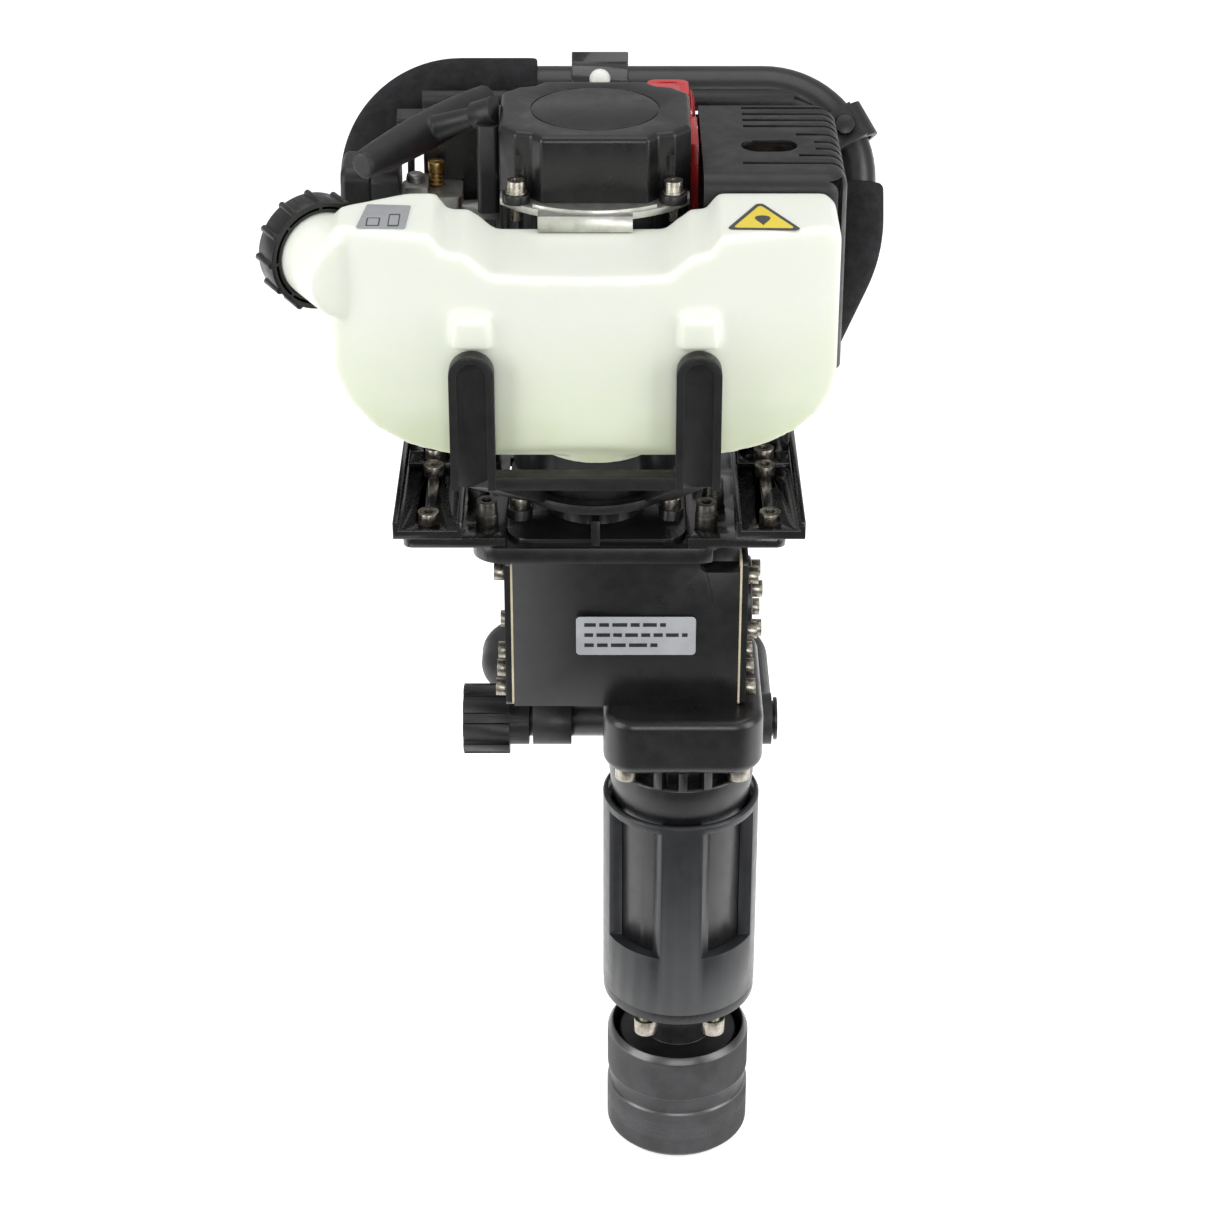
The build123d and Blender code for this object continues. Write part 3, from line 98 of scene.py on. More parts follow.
def bump(tree, source, distance, strength, below=None):
    """Bump from a height, on top of another bump."""
    node = tree.nodes.new("ShaderNodeBump")
    node.inputs["Distance"].default_value = distance
    node.inputs["Strength"].default_value = strength
    tree.links.new(source, node.inputs["Height"])
    if below is not None:
        tree.links.new(below.outputs["Normal"], node.inputs["Normal"])
    return node


def edges_rubbed_and_highlighted(tree, colour, bright, radius=0.0006, amount=0.5):
    """Lighter colour where an edge turns: a painted highlight along every edge, together with paint thinning
    there.
    """
    bevel = tree.nodes.new("ShaderNodeBevel")
    bevel.inputs["Radius"].default_value = radius
    bevel.samples = 4
    geometry = tree.nodes.new("ShaderNodeNewGeometry")
    dot = tree.nodes.new("ShaderNodeVectorMath")
    dot.operation = "DOT_PRODUCT"
    tree.links.new(bevel.outputs["Normal"], dot.inputs[0])
    tree.links.new(geometry.outputs["Normal"], dot.inputs[1])
    edge = tree.nodes.new("ShaderNodeMapRange")
    edge.inputs["From Min"].default_value = 0.985
    edge.inputs["From Max"].default_value = 0.90
    edge.inputs["To Max"].default_value = amount
    tree.links.new(dot.outputs["Value"], edge.inputs["Value"])
    mix = tree.nodes.new("ShaderNodeMix")
    mix.data_type = "RGBA"
    mix.inputs[7].default_value = (*bright, 1.0)
    tree.links.new(edge.outputs["Result"], mix.inputs["Factor"])
    tree.links.new(colour, mix.inputs[6])
    return mix.outputs[2]


def finish_of(name, low, high, rough, grain, depth, metallic=0.0, coat=0.0, coat_rough=0.1,
              wear_and_highlight=None, wear_and_highlight_amount=0.4, blotch=60.0, stretch=(1.0, 1.0, 1.0), specular=0.5,
              fine=0.0, strength=1.0):
    """Procedural finish: blotchy colour, uneven gloss and a grain of a given pitch and depth."""
    material = bpy.data.materials.new(name)
    material.use_nodes = True
    tree = material.node_tree
    shader = tree.nodes["Principled BSDF"]
    cloud = noise(tree, blotch, 4.0)
    colour = ramp(tree, cloud.outputs["Fac"], low, high).outputs["Color"]
    # lighter edges: painted highlight along the edges, mixed with rubbed paint
    if wear_and_highlight is not None:
        colour = edges_rubbed_and_highlighted(tree, colour, wear_and_highlight, amount=wear_and_highlight_amount)
    tree.links.new(colour, shader.inputs["Base Color"])
    smudge = noise(tree, blotch * 2.3, 5.0)
    tree.links.new(spread(tree, smudge.outputs["Fac"], *rough).outputs["Result"], shader.inputs["Roughness"])
    texture = noise(tree, grain, 2.0, stretch=stretch)
    relief = bump(tree, texture.outputs["Fac"], depth, strength)
    if fine:
        relief = bump(tree, noise(tree, grain * 4, 2.0).outputs["Fac"], fine, strength, relief)
    tree.links.new(relief.outputs["Normal"], shader.inputs["Normal"])
    set_input(shader, "Metallic", metallic)
    set_input(shader, "Coat Weight", coat)
    set_input(shader, "Coat Roughness", coat_rough)
    set_input(shader, "Specular IOR Level", specular)
    return material


BLACK = (0.006, 0.006, 0.007)
GREY_RUBBED_AND_LIT_EDGE = (0.05, 0.05, 0.053)

# The lighter edge colours given to these finishes are painted highlights along the edges, mixed with rubbed
# paint.
LOOKS = {
    "chuck_steel": finish_of("knurled_steel", (0.055, 0.055, 0.057), (0.075, 0.075, 0.078), (0.34, 0.46),
                             1800, 0.00005, metallic=0.9, wear_and_highlight=(0.32, 0.32, 0.33), wear_and_highlight_amount=0.5,
                             stretch=(1, 1, 0.3)),
    "polished_steel": finish_of("ground_steel", (0.34, 0.34, 0.35), (0.48, 0.48, 0.49), (0.18, 0.32),
                                2500, 0.00002, metallic=1.0, stretch=(1, 1, 0.1)),
    "spring_steel": finish_of("spring_steel", (0.14, 0.14, 0.15), (0.24, 0.24, 0.25), (0.3, 0.45),
                              2500, 0.00002, metallic=1.0),
    "black_casting": finish_of("satin_casting", BLACK, (0.010, 0.010, 0.011), (0.26, 0.40), 1100, 0.00003,
                               coat=0.25, coat_rough=0.25, wear_and_highlight=GREY_RUBBED_AND_LIT_EDGE, wear_and_highlight_amount=0.35),
    "sleeve_casting": finish_of("sleeve_paint", (0.012, 0.013, 0.015), (0.018, 0.019, 0.022), (0.30, 0.42),
                                1000, 0.00004, coat=0.2, coat_rough=0.3, wear_and_highlight=(0.07, 0.072, 0.08),
                                wear_and_highlight_amount=0.35),
    "black_plate": finish_of("powder_coat", (0.005, 0.005, 0.0055), (0.008, 0.008, 0.009), (0.18, 0.32),
                             900, 0.00009, coat=0.7, coat_rough=0.08, wear_and_highlight=GREY_RUBBED_AND_LIT_EDGE, wear_and_highlight_amount=0.3),
    "nickel_screws": finish_of("nickel_screws", (0.30, 0.27, 0.22), (0.50, 0.47, 0.41), (0.22, 0.40),
                               2600, 0.00003, metallic=1.0, blotch=300),
    "black_screws": finish_of("black_oxide", (0.05, 0.048, 0.042), (0.11, 0.105, 0.095), (0.3, 0.45),
                              2400, 0.00003, metallic=0.9, blotch=300),
    "gasket_paper": finish_of("gasket_paper", (0.46, 0.40, 0.26), (0.68, 0.61, 0.44), (0.75, 0.9),
                              1600, 0.00006),
    "bare_aluminium": finish_of("cast_aluminium", (0.30, 0.30, 0.29), (0.46, 0.46, 0.44), (0.38, 0.55),
                                1200, 0.00012, metallic=0.9),
    "black_plastic": finish_of("grained_plastic", (0.007, 0.007, 0.0075), (0.011, 0.011, 0.012), (0.36, 0.50),
                               1300, 0.00008, wear_and_highlight=(0.06, 0.06, 0.062), wear_and_highlight_amount=0.35, fine=0.00003),
    "gloss_black_plastic": finish_of("moulded_plastic", (0.006, 0.006, 0.0065), (0.009, 0.009, 0.010),
                                     (0.26, 0.38), 1500, 0.00003, wear_and_highlight=(0.05, 0.05, 0.052),
                                     wear_and_highlight_amount=0.3),
    "knob_plastic": finish_of("knob_plastic", (0.009, 0.009, 0.010), (0.015, 0.015, 0.016), (0.38, 0.52),
                              1500, 0.00006, wear_and_highlight=(0.09, 0.09, 0.095), wear_and_highlight_amount=0.35),
    "red_plastic": finish_of("red_plastic", (0.52, 0.012, 0.016), (0.66, 0.020, 0.024), (0.24, 0.36),
                             1500, 0.00003, coat=0.3, coat_rough=0.15),
    "button_plastic": finish_of("button_plastic", (0.012, 0.012, 0.013), (0.02, 0.02, 0.022), (0.3, 0.42),
                                1500, 0.00003),
    "muffler_steel": finish_of("muffler_steel", (0.07, 0.06, 0.05), (0.17, 0.15, 0.13), (0.4, 0.6),
                               900, 0.00008, metallic=0.9),
    "zinc_plate": finish_of("zinc_sheet", (0.52, 0.52, 0.48), (0.66, 0.66, 0.61), (0.30, 0.46),
                            1400, 0.00003, metallic=0.85, blotch=180),
    "rubber_black": finish_of("black_rubber", (0.012, 0.012, 0.012), (0.022, 0.022, 0.022), (0.5, 0.7),
                              1200, 0.00006),
    "rope_nylon": finish_of("rope_nylon", (0.03, 0.03, 0.03), (0.10, 0.10, 0.10), (0.7, 0.9), 1800, 0.0002,
                            blotch=900, stretch=(1, 1, 3)),
    "brass_screw": finish_of("turned_brass", (0.48, 0.30, 0.10), (0.66, 0.45, 0.18), (0.24, 0.38),
                             2600, 0.00002, metallic=1.0),
    "handle_tube": finish_of("tube_paint", (0.009, 0.009, 0.010), (0.014, 0.014, 0.015), (0.28, 0.40),
                             1000, 0.00006, coat=0.2, coat_rough=0.2),
    "foam_black": finish_of("closed_cell_foam", (0.011, 0.011, 0.012), (0.021, 0.021, 0.023), (0.78, 0.95),
                            1500, 0.00035, blotch=140, specular=0.25, fine=0.0001),
}


def tank_material():
    """Translucent polyethylene: milky, a little greener and deeper low down, with a faint grain."""
    material = bpy.data.materials.new("milky_polyethylene")
    material.use_nodes = True
    tree = material.node_tree
    shader = tree.nodes["Principled BSDF"]
    coords = tree.nodes.new("ShaderNodeTexCoord")
    split = tree.nodes.new("ShaderNodeSeparateXYZ")
    tree.links.new(coords.outputs["Object"], split.inputs["Vector"])
    height = tree.nodes.new("ShaderNodeMapRange")
    height.inputs["From Min"].default_value = 0.437
    height.inputs["From Max"].default_value = 0.520
    tree.links.new(split.outputs["Z"], height.inputs["Value"])
    cloud = noise(tree, 26.0, 3.0)
    wander = tree.nodes.new("ShaderNodeMath")
    wander.operation = "MULTIPLY_ADD"
    wander.inputs[1].default_value = 0.35
    tree.links.new(cloud.outputs["Fac"], wander.inputs[0])
    tree.links.new(height.outputs["Result"], wander.inputs[2])
    shade = tree.nodes.new("ShaderNodeValToRGB")
    stops = shade.color_ramp.elements
    stops[0].position = 0.06
    stops[0].color = (0.60, 0.66, 0.44, 1.0)
    stops[1].position = 1.0
    stops[1].color = (0.86, 0.89, 0.80, 1.0)
    middle = stops.new(0.45)
    middle.color = (0.79, 0.84, 0.68, 1.0)
    tree.links.new(wander.outputs["Value"], shade.inputs["Fac"])
    tree.links.new(shade.outputs["Color"], shader.inputs["Base Color"])
    smudge = noise(tree, 90.0, 4.0)
    tree.links.new(spread(tree, smudge.outputs["Fac"], 0.30, 0.42).outputs["Result"],
                   shader.inputs["Roughness"])
    relief = bump(tree, noise(tree, 700.0, 2.0).outputs["Fac"], 0.00006, 0.7)
    tree.links.new(relief.outputs["Normal"], shader.inputs["Normal"])
    set_input(shader, "Subsurface Weight", 0.45)
    set_input(shader, "Subsurface Radius", (1.0, 0.95, 0.7))
    set_input(shader, "Subsurface Scale", 0.006)
    set_input(shader, "Coat Weight", 0.1)
    set_input(shader, "Coat Roughness", 0.3)
    return material


LOOKS["tank_plastic"] = tank_material()


def paint(obj, material):
    """Give a whole object one material."""
    obj.data.materials.clear()
    obj.data.materials.append(material)


# ---- carried-over CAD nodes --------------------------------------------------------------------
BEVELS = {
    "gearbox_housing": 0.8, "nose_block": 0.8, "mount_rails": 0.35, "mount_plate": 0.5,
    "starter_cover": 0.4, "muffler_guard": 0.5, "tank_guard": 0.5, "barrel_sleeve": 0.6,
    "clamp_knob": 0.8, "fuel_cap": 0.4, "side_handle": 0.8, "side_bracket": 0.8,
    "throttle_lever": 0.8, "throttle_clamp": 0.5, "air_filter": 0.5, "handle_clamp": 0.5,
}


def soften(obj, width):
    """Round the sharp edges of a CAD piece with modifiers only."""
    obj.data.shade_smooth()
    weld = obj.modifiers.new("weld", "WELD")
    weld.merge_threshold = 0.00001
    bevel = obj.modifiers.new("edge", "BEVEL")
    bevel.width = width * MM
    bevel.segments = 2
    bevel.limit_method = "ANGLE"
    bevel.angle_limit = math.radians(32)
    bevel.harden_normals = True


slot_of = {row["node"]: row["material_slot"] for row in frame["record"]["subparts"]}
for node_name, node in nodes.items():
    paint(node, LOOKS[slot_of[node_name]])
    soften(node, BEVELS.get(node_name, 0.3))


# ---- mesh helpers ------------------------------------------------------------------------------
def linked(name, data):
    """Object with this data, linked into the scene."""
    obj = bpy.data.objects.new(name, data)
    bpy.context.scene.collection.objects.link(obj)
    return obj


def mesh_of(name, mesh_builder):
    """Mesh from a bmesh, which is freed."""
    mesh = bpy.data.meshes.new(name)
    mesh_builder.to_mesh(mesh)
    mesh_builder.free()
    return mesh


def hand_over(obj, slot, body):
    """Smooth and paint a piece, and let it ride on a body."""
    obj.data.shade_smooth()
    paint(obj, LOOKS[slot])
    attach(obj, body)
    return obj


def new_object(name, mesh_builder, slot, body="machine"):
    """Object from a bmesh, painted and riding on a body."""
    mesh_builder.normal_update()
    return hand_over(linked(name, mesh_of(name, mesh_builder)), slot, body)


def apply_modifiers(obj):
    """Bake the modifiers into the mesh."""
    evaluated = obj.evaluated_get(bpy.context.evaluated_depsgraph_get())
    mesh = bpy.data.meshes.new_from_object(evaluated)
    obj.modifiers.clear()
    obj.data = mesh


def moulded_copy(node_name, name, voxel, rounds, body, slot):
    """A soft-edged copy of a CAD node that stands for it: remeshed and relaxed."""
    obj = linked(name, nodes[node_name].data.copy())
    weld = obj.modifiers.new("weld", "WELD")
    weld.merge_threshold = 0.00001
    remesh = obj.modifiers.new("remesh", "REMESH")
    remesh.mode = "VOXEL"
    remesh.voxel_size = voxel * MM
    relax = obj.modifiers.new("relax", "CORRECTIVE_SMOOTH")
    relax.iterations = rounds
    relax.use_only_smooth = True
    bpy.context.view_layer.update()
    apply_modifiers(obj)
    hand_over(obj, slot, body)
    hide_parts(node_name)
    return obj


def lathe(rings, around, centre=(0.0, 0.0)):
    """Closed bmesh of revolution about a vertical axis; each ring is (z, radius or radius function)."""
    mesh = bmesh.new()
    grid = []
    for z, radius in rings:
        row = []
        for step in range(around):
            angle = math.tau * step / around
            r = radius(angle, z) if callable(radius) else radius
            row.append(mesh.verts.new((centre[0] + r * math.cos(angle), centre[1] + r * math.sin(angle), z)))
        grid.append(row)
    for level in range(len(grid)):
        below, above = grid[level], grid[(level + 1) % len(grid)]
        for step in range(around):
            nxt = (step + 1) % around
            mesh.faces.new((below[step], below[nxt], above[nxt], above[step]))
    return mesh


# ---- chuck collar with its knurled bands -------------------------------------------------------
COLLAR_R = 37.3 * MM
KNURL_PITCH = 1.5 * MM
KNURL_DEPTH = 0.42 * MM
KNURL_BANDS = ((4.6, 28.8), (39.2, 61.0))
KNURL_COUNT = round(math.tau * COLLAR_R / KNURL_PITCH)


def knurled(angle, z):
    """Radius of the diamond knurl at an angle and a height."""
    phase = angle * KNURL_COUNT / 2
    lift = math.pi * z / KNURL_PITCH
    ridge = max(abs(math.cos(phase + lift)), abs(math.cos(phase - lift)))
    return COLLAR_R - KNURL_DEPTH * ridge


def band_rings(start, end, step):
    """Rings of one knurled band, from start to end in millimetres."""
    count = round((end - start) / step)
    return [((start + (end - start) * i / count) * MM, knurled) for i in range(count + 1)]


def plain_rings(points):
    """Smooth rings from (radius, z) in millimetres."""
    return [(z * MM, r * MM) for r, z in points]


collar_rings = (
    plain_rings([(28.5, 5.1), (28.5, 0.5), (29.0, 0.0), (33.0, 0.0), (33.8, 0.4), (36.5, 3.2), (36.9, 4.0)])
    + band_rings(*KNURL_BANDS[0], 0.375)
    + plain_rings([(36.9, 29.2), (36.2, 29.9), (35.9, 30.4), (35.9, 37.6), (36.2, 38.2), (36.9, 38.8)])
    + band_rings(*KNURL_BANDS[1], 0.375)
    + plain_rings([
        (36.9, 61.5), (36.7, 62.0), (35.1, 64.6), (34.7, 64.95), (34.2, 64.8), (34.0, 64.3),
        (34.0, 34.6), (33.6, 34.0), (25.4, 34.0), (24.97, 33.6), (24.97, 5.1),
    ])
)
collar = new_object("collar_knurled", lathe(collar_rings, KNURL_COUNT * 4), "chuck_steel", "collar")
collar.data.set_sharp_from_angle(angle=math.radians(50))
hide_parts("chuck_collar")

# Bare turned metal on the top rim and on the two edges of the groove between the knurled bands, made lighter
# as a painted highlight of these edges.
RIM_REACH = 34.3
RIM_BOTTOM = 61.6
GROOVE_EDGES = ((28.9, 29.8), (38.0, 39.1))
rim_steel_and_highlight = finish_of("rim_steel_and_highlight", (0.10, 0.10, 0.10), (0.14, 0.14, 0.14), (0.28, 0.38), 2500, 0.00002,
                       metallic=1.0, stretch=(1, 1, 0.1))
collar.data.materials.append(rim_steel_and_highlight)
for face in collar.data.polygons:
    height = face.center.z / MM
    reach = face.center.xy.length / MM
    on_groove = any(low < height < high for low, high in GROOVE_EDGES)
    if reach > RIM_REACH and (height > RIM_BOTTOM or on_groove):
        face.material_index = 1

# ---- tank --------------------------------------------------------------------------------------
CAP_RIM = Vector((-164.0, -45.0, 516.0))
CAP_AXIS = Vector((-0.5, 0.866025, 0.0))
NECK_R = 20.0


def prism(outline, place, start, end):
    """Closed prism of an outline, in millimetres, as an object; place maps (x, y, depth) into the frame."""
    mesh = bmesh.new()
    bottom = [mesh.verts.new(place(x, y, start) * MM) for x, y in outline]
    top = [mesh.verts.new(place(x, y, end) * MM) for x, y in outline]
    mesh.faces.new(bottom)
    mesh.faces.new(top[::-1])
    count = len(outline)
    for i in range(count):
        j = (i + 1) % count
        mesh.faces.new((bottom[j], bottom[i], top[i], top[j]))
    bmesh.ops.recalc_face_normals(mesh, faces=mesh.faces[:])
    return linked("prism", mesh_of("prism", mesh))


def in_plan(x, y, depth):
    """Plan outline, extruded up."""
    return Vector((x, y, depth))


def in_front(x, z, depth):
    """Front outline, extruded back."""
    return Vector((x, depth, z))


def in_side(y, z, depth):
    """Side outline, extruded across."""
    return Vector((depth, y, z))


def across_neck(x, y, depth):
    """Outline across the filler neck, extruded out along it."""
    side = Vector((0.866025, 0.5, 0.0))
    return CAP_RIM + side * x + Vector((0.0, 0.0, y)) + CAP_AXIS * depth


def circle(radius, count=48, centre=(0.0, 0.0)):
    """Circle as an outline."""
    turns = [math.tau * i / count for i in range(count)]
    return [(centre[0] + radius * math.cos(a), centre[1] + radius * math.sin(a)) for a in turns]


def boolean(target, other, operation):
    """Apply a boolean and remove the other object."""
    change = target.modifiers.new("boolean", "BOOLEAN")
    change.object = other
    change.operation = operation
    change.solver = "EXACT"
    bpy.context.view_layer.update()
    apply_modifiers(target)
    bpy.data.objects.remove(other)


TANK_LEFT, TANK_RIGHT = -159.0, 65.0
TANK_BACK, TANK_SIDE, TANK_FRONT = -28.0, -70.0, -90.0
TANK_BASE, TANK_LID = 436.0, 540.0
NECK_LEFT = (TANK_LEFT, -46.4)           # where the slanted neck face meets the side and the back
NECK_BACK = (-127.2, TANK_BACK)
SADDLE = 523.0
BOSS_X = (-97.0, 3.0)
BOSS_FRONT = -91.5
BUMP_R, BUMP_CENTRE, BUMP_BASE = 29.0, (-42.0, -56.0), 431.5

front_bow = [
    (TANK_LEFT + (TANK_RIGHT - TANK_LEFT) * t, TANK_SIDE + (TANK_FRONT - TANK_SIDE) * 4 * t * (1 - t))
    for t in (i / 24 for i in range(25))
]
tank_plan = [NECK_LEFT, *front_bow, (TANK_RIGHT, TANK_BACK), NECK_BACK]
tank_face = [
    (TANK_LEFT, 477.0), (TANK_LEFT, 535.0), (-155.0, TANK_LID), (-114.0, TANK_LID),
    (-108.5, 532.3), (-98.5, 532.0), (-87.6, SADDLE), (-11.5, SADDLE), (-0.5, 532.0), (6.5, 532.3),
    (12.0, TANK_LID), (60.0, TANK_LID), (TANK_RIGHT, 535.0), (TANK_RIGHT, 470.0),
    (63.0, 461.5), (57.5, 452.5), (47.0, 444.0), (33.0, 438.6), (16.0, TANK_BASE),
    (-108.0, TANK_BASE), (-126.0, 438.8), (-142.0, 446.0), (-153.0, 457.5), (-158.0, 468.0),
]
tank_side = [(-97.0, 460.0), (-97.0, 541.0), (-20.0, 541.0), (-20.0, 435.0), (-84.0, 435.0), (-90.5, 444.0)]
tank_core = prism(tank_plan, in_plan, TANK_BASE - 6, TANK_LID + 5)
boolean(tank_core, prism(tank_face, in_front, -110.0, 0.0), "INTERSECT")
boolean(tank_core, prism(tank_side, in_side, -200.0, 100.0), "INTERSECT")
boolean(tank_core, prism(circle(NECK_R), across_neck, -30.0, 9.0), "UNION")
for x in BOSS_X:
    boss = [(x - 8.5, 490.0), (x - 7.5, 504.5), (x + 7.5, 504.5), (x + 8.5, 490.0)]
    boolean(tank_core, prism(boss, in_front, BOSS_FRONT, -60.0), "UNION")
boolean(tank_core, prism(circle(BUMP_R, centre=BUMP_CENTRE), in_plan, BUMP_BASE, 445.0), "UNION")


def relaxed(obj, name, voxel, rounds, body, slot, stands_for=None):
    """Remesh an object, relax its edges and hand it over as a named piece."""
    obj.name = name
    remesh = obj.modifiers.new("remesh", "REMESH")
    remesh.mode = "VOXEL"
    remesh.voxel_size = voxel * MM
    relax = obj.modifiers.new("relax", "SMOOTH")
    relax.factor = 0.5
    relax.iterations = rounds
    bpy.context.view_layer.update()
    apply_modifiers(obj)
    obj.data.name = name
    hand_over(obj, slot, body)
    if stands_for:
        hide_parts(stands_for)


relaxed(tank_core, "tank_shell", 1.4, 16, "machine", "tank_plastic", "fuel_tank")

# ---- foam grips --------------------------------------------------------------------------------
foam = moulded_copy("foam_grips", "foam_sleeves", 1.2, 10, "machine", "foam_black")

# ---- T-handle ----------------------------------------------------------------------------------
moulded_copy("starter_handle", "pull_handle", 0.7, 6, "pull", "knob_plastic")

# ---- stickers ----------------------------------------------------------------------------------
STICKER_T = 0.12 * MM


def rounded(corners, radius, steps=6):
    """Polygon with its corners rounded, in millimetres."""
    points = []
    count = len(corners)
    for i, corner in enumerate(corners):
        here = Vector(corner)
        before = (Vector(corners[i - 1]) - here).normalized()
        after = (Vector(corners[(i + 1) % count]) - here).normalized()
        half = before.angle(after) / 2
        middle = here + (before + after).normalized() * (radius / math.sin(half))
        start = here + before * (radius / math.tan(half)) - middle
        end = here + after * (radius / math.tan(half)) - middle
        turn = start.angle_signed(end)
        for step in range(steps + 1):
            spun = start.copy()
            spun.rotate(Matrix.Rotation(-turn * step / steps, 2))
            points.append(middle + spun)
    return points


def plate(name, outline, place, material, lift=0.0, thickness=STICKER_T):
    """Thin plate with an outline in millimetres; place maps its plane into the frame."""
    mesh = bmesh.new()
    loop = [mesh.verts.new((x * MM, y * MM, lift)) for x, y in outline]
    face = mesh.faces.new(loop)
    raised = bmesh.ops.extrude_face_region(mesh, geom=[face])
    top = [v for v in raised["geom"] if isinstance(v, bmesh.types.BMVert)]
    bmesh.ops.translate(mesh, verts=top, vec=(0.0, 0.0, thickness))
    bmesh.ops.recalc_face_normals(mesh, faces=mesh.faces[:])
    data = mesh_of(name, mesh)
    data.transform(place)
    obj = linked(name, data)
    paint(obj, material)
    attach(obj, "machine")


def rectangle(centre, width, height):
    """Rectangle as an outline."""
    x, y = centre
    return [(x - width / 2, y - height / 2), (x + width / 2, y - height / 2),
            (x + width / 2, y + height / 2), (x - width / 2, y + height / 2)]


def printed(name, low, high, rough=(0.25, 0.35)):
    """Film of a sticker: one printed colour with faint handling marks."""
    return finish_of(name, low, high, rough, 500, 0.00002, coat=0.3, coat_rough=0.2)


SILVER_FILM = printed("silver_film", (0.36, 0.37, 0.39), (0.44, 0.45, 0.47))
GREY_FILM = printed("grey_film", (0.30, 0.31, 0.33), (0.36, 0.37, 0.39))
INK = printed("ink", (0.02, 0.02, 0.02), (0.03, 0.03, 0.03))
YELLOW_FILM = printed("yellow_film", (0.80, 0.62, 0.02), (0.86, 0.68, 0.03))

housing_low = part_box("gearbox_housing")[0]
front_place = Matrix.Translation((0.0, housing_low.y, 0.0)) @ Matrix.Rotation(math.radians(90), 4, "X")
PLATE_CENTRE, PLATE_SIZE = (-23.5, 310.5), (58.0, 21.0)
DASH_START, DASH_ENDS = -48.5, (-9.0, 1.5, -13.0)
DASH_TOP, DASH_PITCH, DASH_GAP = 316.6, 5.6, 1.6
plate("gearbox_plate", rounded(rectangle(PLATE_CENTRE, *PLATE_SIZE), 2.0), front_place, SILVER_FILM)
for row, end in enumerate(DASH_ENDS):
    level = DASH_TOP - row * DASH_PITCH
    dash = DASH_START
    number = 0
    while dash < end - 2:
        length = min(rng.uniform(4.0, 9.0), end - dash)
        plate(f"gearbox_plate_mark_{row}_{number}", rectangle((dash + length / 2, level), length, 2.0),
              front_place, INK, STICKER_T, STICKER_T / 2)
        dash += length + DASH_GAP
        number += 1

top_place = Matrix.Translation((0.0, 0.0, (TANK_LID + 0.05) * MM))


def grown(points, centre, share):
    """Outline scaled about a centre."""
    return [(centre[0] + (x - centre[0]) * share, centre[1] + (y - centre[1]) * share) for x, y in points]


triangle = [(14.0, -75.0), (47.5, -76.0), (30.0, -41.0)]
triangle_centre = (30.5, -64.0)
plate("tank_triangle", rounded(triangle, 2.2), top_place, INK)
plate("tank_triangle_field", rounded(grown(triangle, triangle_centre, 0.80), 1.2), top_place, YELLOW_FILM,
      STICKER_T, STICKER_T / 2)
drop = [(30.5 + 4.2 * math.sin(a) * (1 - math.cos(a)) / 1.6, -64.5 - 6.0 * math.cos(a))
        for a in (math.tau * i / 28 for i in range(28))]
plate("tank_triangle_drop", drop[::-1], top_place, INK, STICKER_T * 1.5, STICKER_T / 2)

note = [(-146.5, -73.0), (-125.0, -74.5), (-124.0, -46.0), (-143.5, -44.5)]
plate("tank_note", rounded(note, 1.2), top_place, GREY_FILM)
for number, (centre, size) in enumerate([((-139.5, -66.0), (6.0, 10.0)), ((-130.5, -64.0), (5.0, 15.0))]):
    box = rectangle(centre, *size)
    plate(f"tank_note_mark_{number}", rounded(box, 0.8), top_place, INK, STICKER_T, STICKER_T / 2)
    plate(f"tank_note_mark_fill_{number}", rounded(grown(box, centre, 0.78), 0.5), top_place,
          GREY_FILM, STICKER_T * 1.5, STICKER_T / 3)

# ---- small fittings ----------------------------------------------------------------------------
def lens_screw(name, at, axis, radius, height, slot):
    """Plain domed screw head, standing on a point."""
    rings = [
        (-1.0, radius * 0.45), (0.0, radius * 0.98), (height * 0.15, radius), (height * 0.45, radius * 0.9),
        (height * 0.75, radius * 0.66), (height * 0.93, radius * 0.36), (height, radius * 0.12),
    ]
    mesh = bmesh.new()
    rows = []
    around = 32
    for z, r in rings:
        rows.append([mesh.verts.new(Vector((x, y, z)) * MM) for x, y in circle(r, around)])
    for below, above in zip(rows, rows[1:]):
        for i in range(around):
            j = (i + 1) % around
            mesh.faces.new((below[i], below[j], above[j], above[i]))
    mesh.faces.new(rows[0][::-1])
    mesh.faces.new(rows[-1])
    turn = Vector((0, 0, 1)).rotation_difference(Vector(axis)).to_matrix().to_4x4()
    bmesh.ops.transform(mesh, matrix=Matrix.Translation(Vector(at) * MM) @ turn, verts=mesh.verts[:])
    return new_object(name, mesh, slot)


LOOP_UP = Vector((0.0, 0.5015, 0.8651))  # in the loop handle's plane, and out of it
LOOP_OUT = Vector((0.0, 0.8651, -0.5015))
LOOP_BEND = 45.0
BAR = Vector((0.0, 140.0, 531.0))
CORNER = Vector((40.0, 0.0, 0.0)) + BAR - LOOP_UP * LOOP_BEND


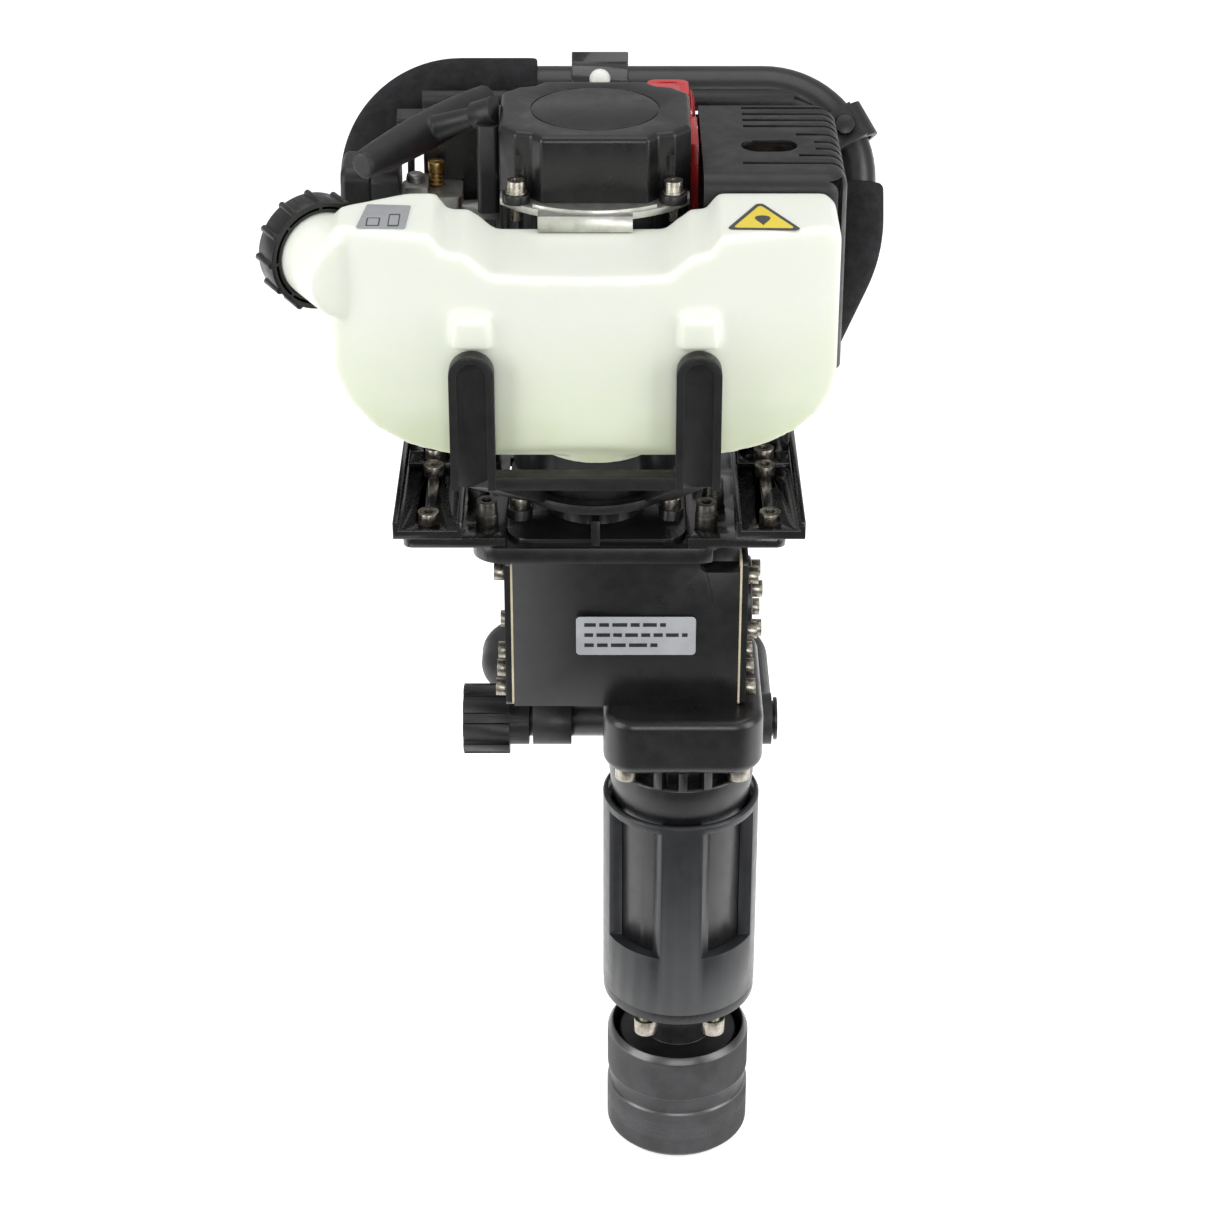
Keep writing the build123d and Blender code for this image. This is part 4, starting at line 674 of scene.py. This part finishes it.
def cable(name, radius, start_r, end_r, start_out, end_out, end_angle):
    """Control cable from its straight run along the bar round the loop's right corner to the clamp."""
    beside_bar = BAR + LOOP_UP * (start_r - LOOP_BEND) + LOOP_OUT * start_out
    points = [Vector((x, 0, 0)) + beside_bar for x in (20.0, 30.0, 38.0)]
    steps = 6
    for step in range(1, steps + 1):
        share = step / steps
        angle = math.radians(90 + (end_angle - 90) * share)
        r = start_r + (end_r - start_r) * share ** 2
        out = start_out + (end_out - start_out) * share ** 2
        spoke = Vector((1, 0, 0)) * math.cos(angle) + LOOP_UP * math.sin(angle)
        points.append(CORNER + spoke * r + LOOP_OUT * out)
    curve = bpy.data.curves.new(name, "CURVE")
    curve.dimensions = "3D"
    curve.bevel_depth = radius * MM
    curve.bevel_resolution = 5
    curve.use_fill_caps = True
    spline = curve.splines.new("NURBS")
    spline.points.add(len(points) - 1)
    for point, target in zip(spline.points, points):
        point.co = (*(target * MM), 1.0)
    spline.order_u = 4
    spline.use_endpoint_u = True
    spline.resolution_u = 10
    maker = linked(name + "_curve", curve)
    bpy.context.view_layer.update()
    mesh = bpy.data.meshes.new_from_object(maker.evaluated_get(bpy.context.evaluated_depsgraph_get()))
    bpy.data.objects.remove(maker)
    hand_over(linked(name, mesh), "black_plastic", "machine")


cable("cable_outer", 3.0, 35.1, 40.0, -19.1, -18.0, 36.0)
cable("cable_inner", 2.6, 26.2, 37.0, -14.5, -12.0, 38.0)

LUG_R, LUG_LENGTH = 6.4 * MM, 9.0 * MM
LUG_CENTRE = (3.5 * MM, 52.0 * MM, 529.0 * MM)
lug = bmesh.new()
bmesh.ops.create_cone(lug, cap_ends=True, segments=6, radius1=LUG_R, radius2=LUG_R, depth=LUG_LENGTH)
bmesh.ops.bevel(lug, geom=lug.edges[:], offset=0.6 * MM, segments=2, affect="EDGES")
lug_place = Matrix.Translation(LUG_CENTRE) @ Matrix.Rotation(math.radians(90), 4, "Y")
bmesh.ops.transform(lug, matrix=lug_place, verts=lug.verts[:])
new_object("coil_lug", lug, "black_plastic")

lens_screw("clamp_dome_screw", (-41.0, 129.4, 539.3), (0.0, -0.79, 0.61), 5.2, 3.0, "tank_plastic")

intake = prism([(-125.0, 62.0), (-88.0, 62.0), (-86.0, 90.0), (-122.0, 92.0)], in_plan, 494.0, 540.0)
relaxed(intake, "intake_cover", 1.2, 10, "machine", "gloss_black_plastic")

# ---- stage -------------------------------------------------------------------------------------
FLOOR_SIZE = 6.0
FLOOR_LIT_Y, FLOOR_DARK_Y = -0.085, -0.40


def stage_material():
    """Lit white floor under and behind the tool, falling off to grey in front of it."""
    material = bpy.data.materials.new("studio_floor")
    material.use_nodes = True
    tree = material.node_tree
    shader = tree.nodes["Principled BSDF"]
    coords = tree.nodes.new("ShaderNodeNewGeometry")
    split = tree.nodes.new("ShaderNodeSeparateXYZ")
    tree.links.new(coords.outputs["Position"], split.inputs["Vector"])
    for name, low, high in (("Base Color", 0.12, 0.93), ("Emission Strength", 0.0, 0.62)):
        fall = tree.nodes.new("ShaderNodeMapRange")
        fall.inputs["From Min"].default_value = FLOOR_DARK_Y
        fall.inputs["From Max"].default_value = FLOOR_LIT_Y
        fall.inputs["To Min"].default_value = low
        fall.inputs["To Max"].default_value = high
        tree.links.new(split.outputs["Y"], fall.inputs["Value"])
        tree.links.new(fall.outputs["Result"], shader.inputs[name])
    set_input(shader, "Emission Color", (1.0, 1.0, 1.0, 1.0))
    set_input(shader, "Roughness", 0.9)
    return material


floor_mesh = bmesh.new()
bmesh.ops.create_grid(floor_mesh, x_segments=2, y_segments=2, size=FLOOR_SIZE)
floor = linked("floor", mesh_of("floor", floor_mesh))
floor.location = (0.0, 1.0, -0.002)
paint(floor, stage_material())

bpy.context.scene.view_settings.view_transform = "Standard"
world = bpy.data.worlds.new("studio")
bpy.context.scene.world = world
world.use_nodes = True
world.node_tree.nodes["Background"].inputs["Color"].default_value = (1.0, 1.0, 1.0, 1.0)
world.node_tree.nodes["Background"].inputs["Strength"].default_value = 0.45


def softbox(name, location, target, size, power):
    """Rectangular area light aimed at a point."""
    light = bpy.data.lights.new(name, "AREA")
    light.shape = "RECTANGLE"
    light.size, light.size_y = size
    light.energy = power
    obj = bpy.data.objects.new(name, light)
    obj.location = location
    obj.rotation_euler = (Vector(target) - Vector(location)).to_track_quat("-Z", "Y").to_euler()
    bpy.context.scene.collection.objects.link(obj)
    return obj


CENTRE = (-0.03, 0.0, 0.33)
softbox("top_box", (0.0, 0.1, 1.7), CENTRE, (1.6, 1.2), 8.0)
softbox("left_box", (-1.3, -0.7, 0.7), CENTRE, (0.8, 1.4), 12.0)
softbox("right_box", (1.3, -0.6, 0.7), CENTRE, (0.8, 1.4), 12.0)
softbox("front_fill", (0.1, -1.9, 0.9), CENTRE, (1.2, 0.9), 11.0)

camera_data = bpy.data.cameras.new("camera")
camera_data.lens = 88.96
camera_data.sensor_width = 36.0
camera = bpy.data.objects.new("camera", camera_data)
camera.location = (-0.0375, -1.2946, 1.0163)
camera.rotation_euler = (math.radians(61.5), 0.0, 0.0)
bpy.context.scene.collection.objects.link(camera)
bpy.context.scene.camera = camera
